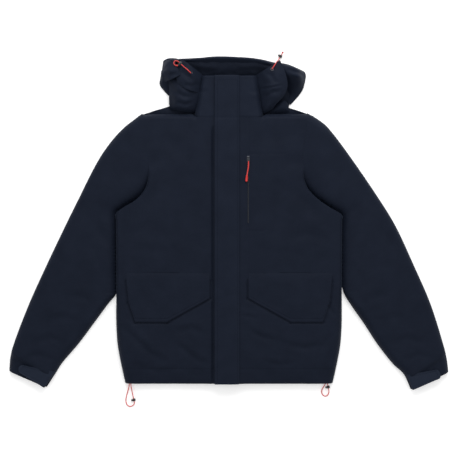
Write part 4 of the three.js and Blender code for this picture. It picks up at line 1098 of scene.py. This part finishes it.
HOOD_TUCKS = {
    "hood_brim_left": [
        ([(78, 354), (110, 356), (142, 362)], 2.4, 2.6), ([(92, 398), (112, 384), (120, 366)], 7, 4.0),
        ([(96, 330), (116, 344), (140, 346)], 6, 3.2),
    ],
    "hood_side_puff_left": [
        ([(150, 404), (172, 396), (194, 392)], 5, 4.5), ([(162, 384), (178, 376), (196, 372)], 5, 3.6),
    ],
    "hood_side_puff_right": [([(-172, 410), (-156, 400), (-142, 402)], 5, 4.0)],
    "hood_side_panel_right": [
        ([(-150, 352), (-120, 334), (-92, 330)], 6, 4.2), ([(-140, 318), (-112, 312), (-92, 320)], 5, 3.0),
    ],
    "hood_upper_band_right": [
        ([(-128, 398), (-104, 384), (-88, 364)], 6, 4.0), ([(-118, 362), (-96, 360), (-76, 368)], 5, 2.6),
    ],
    "hood_brim_right": [([(-170, 396), (-152, 388), (-134, 392)], 5, 3.6)],
    "hood_inner_band": [
        ([(-110, 414), (-60, 402), (-20, 406)], 6, 2.2), ([(20, 404), (62, 408), (98, 404)], 6, 2.2),
    ],
}
for name, (material, side, net) in HOOD.items():
    net = np.array(net, float)
    net[..., 0] *= side or 1
    tall, wide = (
        int(np.linalg.norm(np.diff(edge, axis=0), axis=1).sum() / NET_STEP) for edge in (net[:, 0], net[0])
    )
    grid = patch(net, tall, wide)
    seed = len(name) * 1.3
    rough = 0.3 if name == "hood_under_layer" else 2.0
    x, y = grid[..., 0].copy(), grid[..., 1].copy()
    grid[..., 2] += rough * ripple(x, y, 24, seed) + rough / 2.2 * ripple(x, y, 11, seed)
    grid[..., 2] = np.maximum(grid[..., 2], 2.5)
    for line, width, depth in HOOD_TUCKS.get(name, []):
        grid[..., 2] += fold(x, y, line, width, depth)
    middle = (grid[:-1, :-1] + grid[1:, 1:]) / 2
    behind_collar = (abs(middle[..., 0]) < COLLAR_GAP[0]) & (middle[..., 1] < COLLAR_GAP[1])
    keep = ~behind_collar if name == "hood_under_layer" else None
    piece = cloth(f"{name}_cloth", grid, 1.3, material, keep)
    if HOOD_NODES.get(name):
        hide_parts(*HOOD_NODES[name])
    cells = np.cross(np.diff(grid, axis=0)[:, 1:], np.diff(grid, axis=1)[1:])
    cells = np.linalg.norm(cells, axis=2) * MM * MM
    area = round((cells if keep is None else cells * keep).sum(), 5)
    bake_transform(piece)

EYELET_DARK, EYELET_LIGHT = (0.05, 0.05, 0.06), (0.16, 0.16, 0.18)
eyelet_metal = grained("eyelet_metal", EYELET_DARK, EYELET_LIGHT, 0.25, 500, 3, Metallic=0.9)
for word, side in SIDES:
    on_node(f"hood_eyelet_{word}", eyelet_metal)
on_node("hanger_loop", webbing)


# ---------------------------------------------------------------- studio
# A pale floor and broad soft lights, with a little more light from the hood's end.
floor_paint, shader, place = surface(
    "studio_floor", Roughness=0.9, Specular_IOR_Level=0.1, Emission_Strength=0.3
)
shader.inputs["Emission Color"].default_value = (1, 1, 1, 1)
apply_to(shader, place.noise(3, 1).mixed((0.93, 0.93, 0.93), (0.95, 0.95, 0.95)))
FLOOR = 6000
corners = [(-FLOOR, -FLOOR, 0), (FLOOR, -FLOOR, 0), (FLOOR, FLOOR, 0), (-FLOOR, FLOOR, 0)]
floor = solid("studio_floor", corners, [(0, 1, 2, 3)], floor_paint)

world = bpy.data.worlds.new("studio")
world.use_nodes = True
world.node_tree.nodes["Background"].inputs["Color"].default_value = (1, 1, 1, 1)
world.node_tree.nodes["Background"].inputs["Strength"].default_value = 0.62
bpy.context.scene.world = world
for name, spot, size, power in (
    ("head_softbox", (0.2, 1.9, 1.6), 1.6, 40),
    ("left_softbox", (-2.2, 0.3, 1.6), 1.4, 8),
    ("right_softbox", (2.2, -0.3, 1.6), 1.4, 8),
):
    lamp = bpy.data.lights.new(name, "AREA")
    lamp.size, lamp.energy = size, power
    light = bpy.data.objects.new(name, lamp)
    light.location = spot
    light.rotation_euler = (-Vector(spot)).to_track_quat("-Z", "Y").to_euler()
    bpy.context.scene.collection.objects.link(light)
bpy.context.scene.view_settings.view_transform = "Standard"
